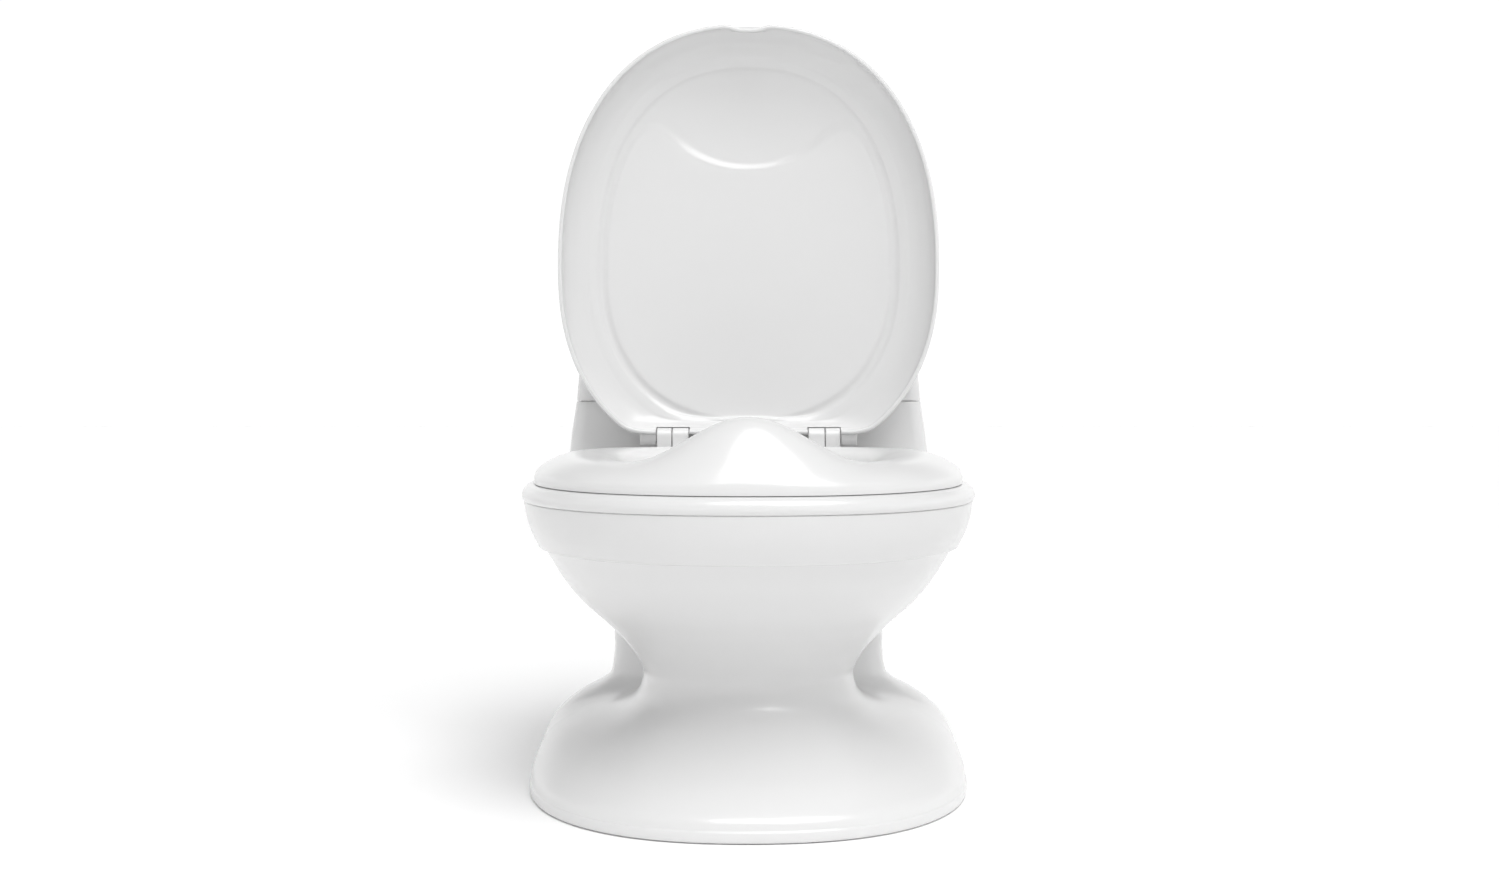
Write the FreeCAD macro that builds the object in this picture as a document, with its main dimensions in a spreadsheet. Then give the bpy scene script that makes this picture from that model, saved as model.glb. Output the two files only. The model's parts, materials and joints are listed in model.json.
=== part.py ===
"""Potty training chair: a child-size toilet with a hinged seat and lid, a lift-out bowl and a tank.

Frame: origin at the middle of the chair's footprint on the floor, +Z up, front towards -Y, +X to the
right of someone facing the chair. Millimetres. The lid stands open, the seat is down, the bowl is in.
"""
import FreeCAD, Part
import math
import os
import Sketcher

V = FreeCAD.Vector
doc = FreeCAD.newDocument("potty_training_chair")

# Driving dimensions. A level ending in _z is a height above the floor, and one ending in _y is a
# distance behind the middle of the chair.
SIZES = {
    # Walls and running gaps
    "wall": 2.8, "gap": 0.5, "screw_radius": 1.75, "screw_head_radius": 4.0, "screw_head": 2.0,
    "boss_radius": 5.0,
    # Foot, pedestal and base plate
    "shell_bottom_z": 2.0, "lip_top_z": 7.0, "lip_out": 1.0, "boss_top_z": 58.0,
    "pedestal_top_z": 152.0, "flange": 3.0, "flange_half": 92.0,
    "plate_z": 3.0, "plate_top_z": 5.5, "foot_pad_radius": 9.0, "base_screw": 16.0,
    "column_half": 92.0, "column_front_y": 55.0, "column_rear_y": 171.0,
    # Rim band and its two hand grips
    "band_top_z": 180.0, "grip_half": 34.0, "grip_low_z": 163.0, "grip_high_z": 175.0, "grip_deep": 7.0,
    # Deck
    "deck_half": 140.5, "deck_long": 182.5, "deck_top_z": 190.0, "well_half": 70.0,
    "well_front": 117.0, "well_rear": 66.0, "well_wall_z": 166.0, "deck_screw": 22.0, "tank_screw": 10.8,
    # Seat ring and splash guard
    "seat_half": 133.0, "seat_front": 175.0, "seat_rear": 96.0, "seat_bottom_z": 191.0,
    "opening_half": 78.0, "opening_front": 126.0, "opening_rear": 75.0, "seat_crest_z": 208.0,
    "guard_rise": 28.0, "guard_half": 72.0, "seat_pad_radius": 6.0, "seat_pad_z": 193.5,
    # Lid, given as it lies when closed
    "lid_half": 130.0, "lid_front": 166.0, "lid_rear": 135.0, "lid_middle": -10.0, "lid_rim_z": 204.2,
    "lid_back_y": 103.0, "guard_dome": 7.0,
    # Hinge line of seat and lid
    "hinge_y": 105.0, "hinge_z": 214.0, "knuckle_radius": 6.0, "pin_radius": 3.0, "pin_gap": 0.05,
    "seat_lug_in": 41.0, "post_in": 53.0, "lid_lug_in": 64.5, "lug_wide": 10.0,
    # Bowl
    "bowl_flange_half": 76.0, "bowl_flange_front": 124.0, "bowl_flange_rear": 73.0, "bowl_flange": 2.5,
    "bowl_bottom_z": 97.0, "bowl_wall": 2.4, "bowl_tab_half": 17.0, "bowl_tab": 7.0,
    # Tank and its cover
    "tank_seam_z": 238.0, "seam": 0.4, "tank_top_z": 385.0, "tank_back_y": 175.5,
    "tank_front_y": 132.0, "tank_foot_half": 127.0, "tank_seam_half": 121.7, "tank_top_half": 112.0,
    "tank_front_corner": 10.0, "tank_back_corner": 28.0,
    "lip_rise": 6.0, "tank_floor": 3.0, "tank_lift": 0.1,
    # Flush button, on the tank's top
    "button_y": 153.0, "button_radius": 10.6, "button_top_z": 389.0, "button_skirt_z": 383.0,
    "stem_radius": 4.0, "stem_z": 375.0, "bezel_radius": 14.5, "bezel_bore": 11.2, "collar_radius": 12.5,
    "bezel_top_z": 386.5, "cup_z": 376.0, "cup_floor_z": 378.0, "cup_hole": 5.0,
    "spring_radius": 6.8, "spring_wire": 0.45, "spring_turns": 3.0, "spring_top_z": 386.4,
    # Sound unit, under the tank's top
    "unit_half": 48.0, "unit_front_y": 136.5, "unit_back_y": 168.5, "unit_top_z": 376.0,
    "unit_bottom_z": 348.0, "unit_wall": 2.0, "unit_plate_z": 345.5, "unit_post_x": 43.0,
    "unit_screw_radius": 1.2, "board_half": 40.0, "board_front_y": 139.5, "board_back_y": 165.5,
    "board_z": 366.0, "board": 1.6, "rib_in": 34.0, "switch_half": 3.0, "switch_top_z": 371.9,
    "cell_radius": 5.25, "cell_long": 44.5, "cell_x": -12.0, "cell_z": 357.0, "cell_front_y": 146.2,
    "cell_back_y": 159.2, "contact": 1.2, "speaker_x": -27.0, "speaker_radius": 13.0,
    "speaker_top_z": 355.0, "door_left_x": -14.5, "door_right_x": 39.5, "door_front_y": 138.5,
    "door_back_y": 167.0, "door": 1.5, "door_screw_x": 36.5,
}

sheet = doc.addObject("Spreadsheet::Sheet", "Sizes")
for row, (alias, amount) in enumerate(SIZES.items(), start=1):
    sheet.set(f"A{row}", alias)
    sheet.set(f"B{row}", str(amount))
    sheet.setAlias(f"B{row}", alias)
doc.recompute()

parts = []


CELLS = {alias: float(sheet.get(alias)) for alias in SIZES}


def size(alias):
    """Value of a cell of the sheet."""
    return CELLS[alias]


def number(text):
    """Value of a sum such as 'plate_z + flange - 2', for a starting position of sketch geometry."""
    total = 0.0
    sign = 1.0
    for token in str(text).split():
        if token in ("+", "-"):
            sign = 1.0 if token == "+" else -1.0
        else:
            total += sign * (size(token) if token in SIZES else float(token))
            sign = 1.0
    return total


def formula(text):
    """The same sum as an expression on the sheet's cells."""
    return " ".join(f"Sizes.{token}" if token in SIZES else token for token in str(text).split())


def bind(obj, prop, text):
    obj.setExpression(prop, formula(text))


def place(obj, x="0", y="0", z="0", rotation=None):
    if rotation:
        obj.Placement = FreeCAD.Placement(V(0, 0, 0), rotation)
    bind(obj, "Placement.Base.x", x)
    bind(obj, "Placement.Base.y", y)
    bind(obj, "Placement.Base.z", z)


def keep(obj, label):
    """Marks an object of the document as a sub-part of the chair."""
    obj.Label = label
    parts.append(obj)
    return obj


def box(name, x, y, z, long, wide, high):
    obj = doc.addObject("Part::Box", name)
    bind(obj, "Length", long)
    bind(obj, "Width", wide)
    bind(obj, "Height", high)
    place(obj, x, y, z)
    return obj


def cylinder(name, radius, height, x="0", y="0", z="0", rotation=None):
    obj = doc.addObject("Part::Cylinder", name)
    bind(obj, "Radius", radius)
    bind(obj, "Height", height)
    place(obj, x, y, z, rotation)
    return obj


def fuse(name, shapes):
    obj = doc.addObject("Part::MultiFuse", name)
    obj.Shapes = shapes
    return obj


def group(name, members):
    obj = doc.addObject("Part::Compound", name)
    obj.Links = members
    return obj


def solid_feature(label, shape, placement=None):
    """A sub-part whose free-form shape is set from the sheet's sizes."""
    obj = doc.addObject("Part::Feature", label)
    obj.Shape = shape
    obj.Placement = placement or FreeCAD.Placement()
    return keep(obj, label)


# ---------------------------------------------------------------- sketches and bodies


def origin_plane(body, role):
    return [item for item in body.Origin.OriginFeatures if item.Role == role][0]


def outline_sketch(body, role, points, offset=None):
    """Closed straight-sided outline: each corner is held by two distances bound to the sheet."""
    sketch = body.newObject("Sketcher::SketchObject", body.Name + "_outline")
    sketch.AttachmentSupport = [(origin_plane(body, role), "")]
    sketch.MapMode = "FlatFace"
    if offset is not None:
        bind(sketch, "AttachmentOffset.Base.z", offset)
    corners = [V(number(x), number(y), 0) for x, y in points]
    count = len(corners)
    for index in range(count):
        sketch.addGeometry(Part.LineSegment(corners[index], corners[(index + 1) % count]), False)
    for index in range(count):
        coincident = Sketcher.Constraint("Coincident", index, 2, (index + 1) % count, 1)
        sketch.addConstraint(coincident)
    for index, (x, y) in enumerate(points):
        hold_corner(sketch, index, "DistanceX", x, -2)
        hold_corner(sketch, index, "DistanceY", y, -1)
    return sketch


def hold_corner(sketch, index, kind, text, axis):
    """Sets one coordinate of a corner, which lies on the axis itself where the coordinate is 0."""
    amount = number(text)
    if abs(amount) < 1e-9:
        sketch.addConstraint(Sketcher.Constraint("PointOnObject", index, 1, axis))
        return
    place_of = sketch.addConstraint(Sketcher.Constraint(kind, -1, 1, index, 1, amount))
    sketch.setExpression(f"Constraints[{place_of}]", formula(text))


def padded_body(label, points, low, high, role="XY_Plane"):
    """A plate or block: an outline padded from one level to another."""
    body = doc.addObject("PartDesign::Body", label)
    sketch = outline_sketch(body, role, points, low)
    pad = body.newObject("PartDesign::Pad", label + "_pad")
    pad.Profile = sketch
    bind(pad, "Length", f"( {high} ) - ( {low} )")
    doc.recompute()
    return keep(body, label)


def pocket(body, points, low, deep, reversed_cut):
    """Cuts an outline out of a body from a level, upwards where reversed_cut is true."""
    before = body.Shape.Volume
    sketch = outline_sketch(body, "XY_Plane", points, low)
    cutter = body.newObject("PartDesign::Pocket", body.Name + "_pocket")
    cutter.Profile = sketch
    cutter.Reversed = reversed_cut
    bind(cutter, "Length", deep)
    doc.recompute()
    assert body.Shape.Volume < before - 1.0, f"{body.Label}: the pocket removed nothing"


def drill(body, places, radius, low, deep):
    """Cuts round holes upwards from a level."""
    before = body.Shape.Volume
    sketch = body.newObject("Sketcher::SketchObject", body.Name + "_holes")
    sketch.AttachmentSupport = [(origin_plane(body, "XY_Plane"), "")]
    sketch.MapMode = "FlatFace"
    bind(sketch, "AttachmentOffset.Base.z", low)
    for index, (x, y) in enumerate(places):
        sketch.addGeometry(Part.Circle(V(number(x), number(y), 0), V(0, 0, 1), number(radius)), False)
        hold_centre(sketch, index, "DistanceX", x)
        hold_centre(sketch, index, "DistanceY", y)
        across = sketch.addConstraint(Sketcher.Constraint("Radius", index, number(radius)))
        sketch.setExpression(f"Constraints[{across}]", formula(radius))
    cutter = body.newObject("PartDesign::Pocket", body.Name + "_bores")
    cutter.Profile = sketch
    cutter.Reversed = True
    bind(cutter, "Length", deep)
    doc.recompute()
    assert body.Shape.Volume < before - 1.0, f"{body.Label}: the holes removed nothing"


def hold_centre(sketch, index, kind, text):
    """Sets one coordinate of a circle's centre."""
    place_of = sketch.addConstraint(Sketcher.Constraint(kind, -1, 1, index, 3, number(text)))
    sketch.setExpression(f"Constraints[{place_of}]", formula(text))


def add_block(body, points, low, high):
    """Adds a block between two levels to a body."""
    sketch = outline_sketch(body, "XY_Plane", points, low)
    pad = body.newObject("PartDesign::Pad", body.Name + "_block")
    pad.Profile = sketch
    bind(pad, "Length", f"( {high} ) - ( {low} )")
    doc.recompute()


def turned_body(label, profile, x="0", y="0"):
    """A round piece: a profile of (radius, height) corners turned about a vertical axis at x, y."""
    body = doc.addObject("PartDesign::Body", label)
    sketch = outline_sketch(body, "XZ_Plane", profile)
    turn = body.newObject("PartDesign::Revolution", label + "_turn")
    turn.Profile = sketch
    turn.ReferenceAxis = (sketch, ["V_Axis"])
    turn.Angle = 360
    place(body, x, y, "0")
    doc.recompute()
    return keep(body, label)


# ---------------------------------------------------------------- free-form outlines


def superellipse(half, front, rear, front_power=2.3, rear_power=3.4):
    """Points of an egg-shaped outline about x = 0, y = 0, as a function of the angle."""

    def point(angle):
        c = math.cos(angle)
        s = math.sin(angle)
        power = rear_power if s > 0 else front_power
        reach = rear if s > 0 else front
        length = (abs(c) / half) ** power + (abs(s) / reach) ** power
        radius = length ** (-1.0 / power)
        return radius * c, radius * s

    return point


def closed_curve(points):
    curve = Part.BSplineCurve()
    curve.interpolate(Points=points, PeriodicFlag=True)
    return Part.Wire([curve.toShape()])


POINTS = 64


def ring(outline, level, middle=0.0, rise=None):
    """Closed wire of an outline at a level; rise(x, y) adds height to each point."""
    points = []
    for index in range(POINTS):
        x, y = outline(2.0 * math.pi * index / POINTS)
        y += middle
        points.append(V(x, y, level + (rise(x, y) if rise else 0.0)))
    return closed_curve(points)


def egg(half, front, rear, level, middle=0.0, front_power=2.3, rear_power=3.4):
    return ring(superellipse(half, front, rear, front_power, rear_power), level, middle)


def upright_solid(shape):
    """The same solid with its faces pointing outwards."""
    if shape.Volume < 0:
        shape.reverse()
    return shape


def walls(wires):
    """Faces through a stack of wires: straight between two, smooth through more."""
    return Part.makeLoft(wires, False, len(wires) == 2).Faces


def flat(outer, inner):
    """Flat ring-shaped face between two wires of one level."""
    return Part.makeFace([outer, inner], "Part::FaceMakerBullseye").Faces


def skin(faces):
    """Solid inside a closed set of faces."""
    shell = Part.makeShell(faces)
    shell.sewShape()
    return upright_solid(Part.Solid(shell))


def along_profile(points, count):
    """Evenly spaced points of a smooth curve through a few profile points."""
    curve = Part.BSplineCurve()
    curve.interpolate(Points=[V(*(tuple(point) + (0.0,) * (3 - len(point)))) for point in points])
    return curve.discretize(Number=count)


def rounded_rectangle(half, front, back, front_corner, back_corner, level):
    """Wire with straight sides and round corners, for the tank."""
    quarters = [(half - back_corner, back - back_corner, back_corner, 0),
                (back_corner - half, back - back_corner, back_corner, 90),
                (front_corner - half, front + front_corner, front_corner, 180),
                (half - front_corner, front + front_corner, front_corner, 270)]
    arcs = []
    for x, y, corner, start in quarters:
        circle = Part.Circle(V(x, y, level), V(0, 0, 1), corner)
        arcs.append(Part.Arc(circle, math.radians(start), math.radians(start + 90)))
    edges = []
    for index, arc in enumerate(arcs):
        edges.append(arc.toShape())
        edges.append(Part.LineSegment(arc.EndPoint, arcs[(index + 1) % 4].StartPoint).toShape())
    return Part.Wire(edges)


def level_value(level, table):
    """Straight-line value between the entries of a table of (level, value) pairs."""
    if level <= table[0][0]:
        return table[0][1]
    for (low, first), (high, second) in zip(table, table[1:]):
        if level <= high:
            share = (level - low) / (high - low)
            return first + share * (second - first)
    return table[-1][1]


# ---------------------------------------------------------------- pedestal

# Upper pedestal from the waist up, by height: half width, front reach and rear reach of its bowl.
WAIST_Z = 70.0
BOWL_HALF = [(70, 66.0), (78, 68.5), (87, 74.0), (96, 81.5), (106, 91.0), (116, 102.0), (125, 110.0),
             (134, 116.5), (144, 122.5), (152, 127.0)]
BOWL_FRONT = [(70, 95.0), (78, 96.0), (87, 102.0), (96, 111.5), (106, 125.0), (116, 139.0), (125, 150.0),
              (134, 159.0), (144, 166.0), (152, 171.0)]
BOWL_REAR = [(70, 100.0), (106, 115.0), (134, 150.0), (152, 172.0)]
# Foot from the floor up to the waist: share of the way in from its outline to the waist's, and
# height. The front is a hollow flare; the sides and the rear have a full, rounded shoulder.
FLARE = [(0.0, size("shell_bottom_z")), (0.0, size("lip_top_z")),
         (0.03, 12.5), (0.13, 18.0), (0.28, 25.0), (0.47, 33.0), (0.66, 42.0),
         (0.82, 50.5), (0.94, 59.0), (1.0, WAIST_Z)]
SHOULDER = [(0.0, size("shell_bottom_z")), (0.0, size("lip_top_z")),
            (0.0, 14.0), (0.03, 22.0), (0.11, 29.5), (0.26, 36.5), (0.48, 42.5),
            (0.73, 47.0), (0.94, 54.0), (1.0, WAIST_Z)]
PEDESTAL_MIDDLE = 75.0
BLEND = 18.0


def lobe(x, y, half, front, rear, power):
    """Distance-like measure of a point from an egg outline, negative inside."""
    reach = rear if y > 0 else front
    length = ((abs(x) / half) ** power + (abs(y) / reach) ** power) ** (1.0 / power)
    return (length - 1.0) * min(half, reach)


def smooth_union(first, second, width):
    """Joins two measures with a soft inside corner of a width."""
    share = max(width - abs(first - second), 0.0) / width
    return min(first, second) - share * share * width / 4.0


def foot_measure(x, y, level):
    """Measure of the foot's outline: an egg with a fuller rear."""
    front = lobe(x, y, 135.5, 172.0, 150.0, 2.3)
    rear = lobe(x, y - 52.0, 135.5, 208.0, 126.0, 2.5)
    return min(front, rear)


def upper_measure(x, y, level):
    """Measure of the section above the waist: the bowl in front and a squarer column behind."""
    bowl = lobe(x, y, level_value(level, BOWL_HALF), level_value(level, BOWL_FRONT),
                level_value(level, BOWL_REAR), 2.3)
    half_column = (size("column_rear_y") - size("column_front_y")) / 2.0
    column_middle = (size("column_rear_y") + size("column_front_y")) / 2.0
    column = lobe(x, y - column_middle, size("column_half"), half_column, half_column, 4.0)
    return smooth_union(bowl, column, BLEND)


def reach_of(measure, angle, level):
    """Distance from the pedestal's middle to where a measure is zero, in one direction."""
    c = math.cos(angle)
    s = math.sin(angle)
    low = 0.0
    high = 300.0
    while high - low > 1e-4:
        radius = (low + high) / 2.0
        if measure(radius * c, PEDESTAL_MIDDLE + radius * s, level) < 0.0:
            low = radius
        else:
            high = radius
    return low


def soft_step(value):
    value = min(max(value, 0.0), 1.0)
    return value * value * (3.0 - 2.0 * value)


def foot_profile(angle, inset):
    """Reach and height of the foot's surface in one direction, from the floor to the waist."""
    outline = reach_of(foot_measure, angle, 0.0)
    waist = reach_of(upper_measure, angle, WAIST_Z)
    off_front = abs((math.degrees(angle) + 90.0 + 180.0) % 360.0 - 180.0)
    share = soft_step((off_front - 18.0) / 58.0)
    points = []
    for (flare_in, flare_z), (shoulder_in, shoulder_z) in zip(FLARE, SHOULDER):
        inward = flare_in + share * (shoulder_in - flare_in)
        points.append((outline + inward * (waist - outline), flare_z + share * (shoulder_z - flare_z)))
    moved = []
    for index, (reach, level) in enumerate(points):
        before = points[max(index - 1, 0)]
        after = points[min(index + 1, len(points) - 1)]
        along = (after[0] - before[0], after[1] - before[1])
        length = math.hypot(*along)
        upright_end = index < 2 or index == len(points) - 1
        across = (-1.0, 0.0) if upright_end else (-along[1] / length, along[0] / length)
        moved.append((reach + inset * across[0], level + inset * across[1]))
    return moved


def pedestal_wires(inset, levels):
    """Wires of the pedestal's surface taken in by an inset: the foot's, then one for each level."""
    angles = [2.0 * math.pi * index / POINTS for index in range(POINTS)]
    profiles = [foot_profile(angle, inset) for angle in angles]
    wires = []
    for index in range(len(FLARE)):
        points = []
        for angle, profile in zip(angles, profiles):
            reach, level = profile[index]
            points.append(V(reach * math.cos(angle), PEDESTAL_MIDDLE + reach * math.sin(angle), level))
        wires.append(closed_curve(points))
    for level in levels:
        points = []
        for angle in angles:
            reach = reach_of(upper_measure, angle, level) - 1.15 * inset
            points.append(V(reach * math.cos(angle), PEDESTAL_MIDDLE + reach * math.sin(angle), level))
        wires.append(closed_curve(points))
    return wires


def base_screw_places():
    return [(-62.0, -92.0), (62.0, -92.0), (-96.0, 108.0), (96.0, 108.0)]


def deck_screw_places():
    return [(-103.0, -62.0), (103.0, -62.0), (-104.0, 74.0), (104.0, 74.0)]


def upright(radius, x, y, low, high):
    return Part.makeCylinder(radius, high - low, V(x, y, low))


def make_pedestal_shell():
    """One moulded shell: flared foot with a rolled lip, waist, rear column and bowl, flanged on top."""
    bottom = size("shell_bottom_z")
    top = size("pedestal_top_z")
    under_flange = top - size("flange")
    wall = size("wall")
    levels = [78, 87, 96, 106, 116, 125, 134, 143]
    outer = pedestal_wires(0.0, levels + [top])
    cavity = pedestal_wires(wall, levels + [under_flange])
    middle = pedestal_wires(0.4 * wall, levels + [top])
    lip = pedestal_wires(-size("lip_out"), [])[:2]
    half = size("flange_half")
    hole = [egg(half, half + 44, half + 40, level) for level in (under_flange, top)]
    faces = walls(lip) + flat(lip[1], outer[1]) + walls(outer[1:]) + flat(outer[-1], hole[1])
    faces += walls(hole) + flat(cavity[-1], hole[0]) + walls(cavity) + flat(lip[0], cavity[0])
    shell = skin(faces)
    core = skin(walls(middle) + [Part.Face(middle[0]), Part.Face(middle[-1])])
    for x, y in base_screw_places():
        boss = upright(size("boss_radius"), x, y, size("plate_top_z"), size("boss_top_z"))
        shell = shell.fuse(boss.common(core))
        shell = shell.cut(upright(size("screw_radius"), x, y, bottom, size("plate_z") + size("base_screw")))
    for x, y in deck_screw_places():
        shell = shell.cut(upright(size("screw_radius") + 0.3, x, y, under_flange - 1, top + 1))
    solid_feature("pedestal_shell", shell.removeSplitter())


def make_base_plate():
    """Flat bottom cover inside the foot's lip, with a hole for each screw."""
    level = size("plate_z")
    outline = pedestal_wires(size("wall") + size("gap"), [])[0]
    outline.translate(V(0, 0, level - size("shell_bottom_z")))
    plate = Part.Face(outline).extrude(V(0, 0, size("plate_top_z") - level))
    for x, y in base_screw_places():
        plate = plate.cut(upright(size("screw_radius") + 0.3, x, y, level - 1, size("plate_top_z") + 1))
    solid_feature("base_plate", plate)


def make_rubber_feet():
    """Four round pads under the base plate."""
    pads = []
    for index, (x, y) in enumerate([(-78, -108), (78, -108), (-106, 92), (106, 92)]):
        pads.append(cylinder(f"foot_pad_{index}", "foot_pad_radius", "plate_z", str(x), str(y)))
    keep(group("rubber_feet_group", pads), "rubber_feet")


def screw(name, x, y, head_z, length):
    """Countersunk-style screw seen as a flat head with a plain shank above it."""
    head = cylinder(name + "_head", "screw_head_radius", "screw_head", str(x), str(y),
                    f"{head_z} - screw_head")
    shank = cylinder(name + "_shank", "screw_radius", length, str(x), str(y), head_z)
    return fuse(name, [head, shank])


def make_screw_group(label, places, head_z, length):
    screws = [screw(f"{label}_{index}", x, y, head_z, length) for index, (x, y) in enumerate(places)]
    keep(group(label + "_group", screws), label)


# ---------------------------------------------------------------- rim band and deck


RIM_REAR_POWER = 8.0


def rim_outline(inset, level):
    """Outline shared by the band and the deck: round at the front, nearly square behind."""
    half = size("deck_half") - inset
    reach = size("deck_long") - inset
    return egg(half, reach, reach, level, rear_power=RIM_REAR_POWER)


def make_rim_band():
    """Band round the bowl's top with an inward flange and a hand grip moulded into each side."""
    low = size("pedestal_top_z")
    high = size("band_top_z")
    flange_top = low + size("flange")
    outer = [rim_outline(9.6, low), rim_outline(7.4, low + 4), rim_outline(5.2, low + 9),
             rim_outline(3.4, low + 15), rim_outline(1.4, high)]
    inner = [rim_outline(10.4, flange_top), rim_outline(8.2, low + 9), rim_outline(6.4, low + 15),
             rim_outline(4.4, high)]
    half = size("flange_half")
    hole = [egg(half, half + 44, half + 40, level) for level in (low, flange_top)]
    band = skin(walls(outer) + flat(outer[-1], inner[-1]) + walls(inner) + flat(inner[0], hole[1])
                + walls(hole) + flat(outer[0], hole[0]))
    middle = [rim_outline(10.9, low), rim_outline(6.7, low + 9), rim_outline(4.9, low + 15),
              rim_outline(2.9, high)]
    middle = skin(walls(middle) + [Part.Face(middle[0]), Part.Face(middle[-1])])
    grip_half = size("grip_half")
    for side in (-1, 1):
        pocket_low = size("grip_low_z")
        pocket_high = size("grip_high_z")
        inner_x = size("deck_half") - 5 - size("grip_deep")
        wall = 2.2
        cup = Part.makeBox(40, 2 * grip_half + 2 * wall, pocket_high - pocket_low + 2 * wall,
                           V(inner_x - wall, -grip_half - wall, pocket_low - wall))
        space = Part.makeBox(40, 2 * grip_half, pocket_high - pocket_low,
                             V(inner_x, -grip_half, pocket_low))
        uprights = [edge for edge in space.Edges
                    if abs(edge.BoundBox.XLength) > 1 and edge.BoundBox.YLength < 0.1]
        space = space.makeFillet(4.0, uprights)
        if side < 0:
            cup = cup.mirror(V(0, 0, 0), V(1, 0, 0))
            space = space.mirror(V(0, 0, 0), V(1, 0, 0))
        band = band.fuse(cup.common(middle)).cut(space)
    for x, y in deck_screw_places():
        band = band.cut(upright(size("screw_radius") + 0.3, x, y, low - 1, flange_top + 1))
    solid_feature("rim_band", band.removeSplitter())


def well_outline(outset, level):
    return egg(size("well_half") + outset, size("well_front") + outset, size("well_rear") + outset,
               level, 0.0, 2.2, 2.3)


def make_deck():
    """Top plate with a bullnose edge, the bowl's well, screw bosses and the two hinge posts."""
    low = size("band_top_z")
    top = size("deck_top_z")
    wall = size("wall")
    under = top - wall
    edge = [(1.0, 0.0), (0.1, 2.2), (0.3, 4.6), (1.6, 7.2), (4.4, 9.2), (7.2, 9.85), (9.5, top - low)]
    outer = [rim_outline(p.x, low + p.y) for p in along_profile(edge, 12)]
    inner = [rim_outline(4.2, low), rim_outline(4.0, low + 3.0), rim_outline(5.4, low + 5.5),
             rim_outline(9.5, under)]
    well = [well_outline(0.0, size("well_wall_z")), well_outline(0.0, top)]
    collar = [well_outline(wall, size("well_wall_z")), well_outline(wall, under)]
    deck = skin(walls(outer) + flat(outer[-1], well[1]) + walls(well) + flat(collar[0], well[0])
                + walls(collar) + flat(inner[-1], collar[1]) + walls(inner) + flat(outer[0], inner[0]))
    flange_top = size("pedestal_top_z") + size("flange")
    for x, y in deck_screw_places():
        deck = deck.fuse(upright(size("boss_radius"), x, y, flange_top, top - 1))
        deck = deck.cut(upright(size("screw_radius"), x, y, flange_top - 1,
                                size("pedestal_top_z") - size("flange") + size("deck_screw")))
    radius = size("knuckle_radius")
    for side in (-1, 1):
        inner = size("post_in") if side > 0 else -size("post_in") - size("lug_wide")
        post = Part.makeBox(size("lug_wide"), 2 * radius, size("hinge_z") - top + 1,
                            V(inner, size("hinge_y") - radius, top - 1))
        axis_start = V(inner, size("hinge_y"), size("hinge_z"))
        barrel = Part.makeCylinder(radius, size("lug_wide"), axis_start, V(1, 0, 0))
        bore = Part.makeCylinder(size("pin_radius"), size("lug_wide"), axis_start, V(1, 0, 0))
        deck = deck.fuse(post).fuse(barrel).cut(bore)
    for x, y in tank_screw_places():
        deck = deck.cut(upright(size("screw_radius") + 0.3, x, y, top - wall - 1, top + 1))
    solid_feature("deck", deck.removeSplitter())


def make_hinge_pins():
    """One pin each side, through the seat's lug, the deck's post and the lid's lug."""
    turn = FreeCAD.Rotation(V(0, 1, 0), 90)
    length = "lid_lug_in + lug_wide - seat_lug_in"
    right = cylinder("pin_right", "pin_radius", length, "seat_lug_in", "hinge_y", "hinge_z", turn)
    left = cylinder("pin_left", "pin_radius", length, "0 - lid_lug_in - lug_wide", "hinge_y", "hinge_z", turn)
    keep(group("hinge_pins_group", [right, left]), "hinge_pins")


def lug_pair(inner, arm):
    """Two lugs round the hinge line, each a barrel and an arm given as a box of (y, z) limits."""
    lugs = []
    (front, low), (back, high) = arm
    for side in (-1, 1):
        start = inner if side > 0 else -inner - size("lug_wide")
        place_of = V(start, size("hinge_y"), size("hinge_z"))
        barrel = Part.makeCylinder(size("knuckle_radius"), size("lug_wide"), place_of, V(1, 0, 0))
        bar = Part.makeBox(size("lug_wide"), back - front, high - low, V(start, front, low))
        lugs.append(barrel.fuse(bar))
    return lugs


def seat_lugs():
    """Lugs whose arms leave the seat's rear wall low down and rise behind it to the hinge line."""
    lugs = []
    radius = size("knuckle_radius")
    for lug in lug_pair(size("seat_lug_in"), ((87.0, 197.5), (size("hinge_y") + radius, 205.5))):
        start = lug.BoundBox.XMin
        riser = Part.makeBox(size("lug_wide"), 2 * radius, size("hinge_z") - 200.0,
                             V(start, size("hinge_y") - radius, 200.0))
        lugs.append(lug.fuse(riser))
    return lugs


def hinge_bores(shape):
    radius = size("pin_radius") + size("pin_gap")
    start = V(-size("deck_half"), size("hinge_y"), size("hinge_z"))
    return shape.cut(Part.makeCylinder(radius, 2 * size("deck_half"), start, V(1, 0, 0)))


# ---------------------------------------------------------------- seat

# Shape of the seat from its outer edge (0) to the edge of its opening (1): height below the crest,
# and the share of the splash guard's rise that each place takes.
SEAT_PROFILE = [(0.0, 13.2, 0.0), (0.03, 9.6, 0.05), (0.14, 5.2, 0.20), (0.32, 1.2, 0.52),
                (0.52, 0.0, 0.84), (0.72, 1.4, 1.0), (0.90, 5.0, 0.95), (0.985, 10.0, 0.62)]


def guard_share(x, y):
    """1 at the middle of the seat's front, falling softly to 0 at the splash guard's sides."""
    if y > 0:
        return 0.0
    share = min(abs(x) / size("guard_half"), 1.0)
    return math.cos(math.pi / 2.0 * share) ** 2


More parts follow.
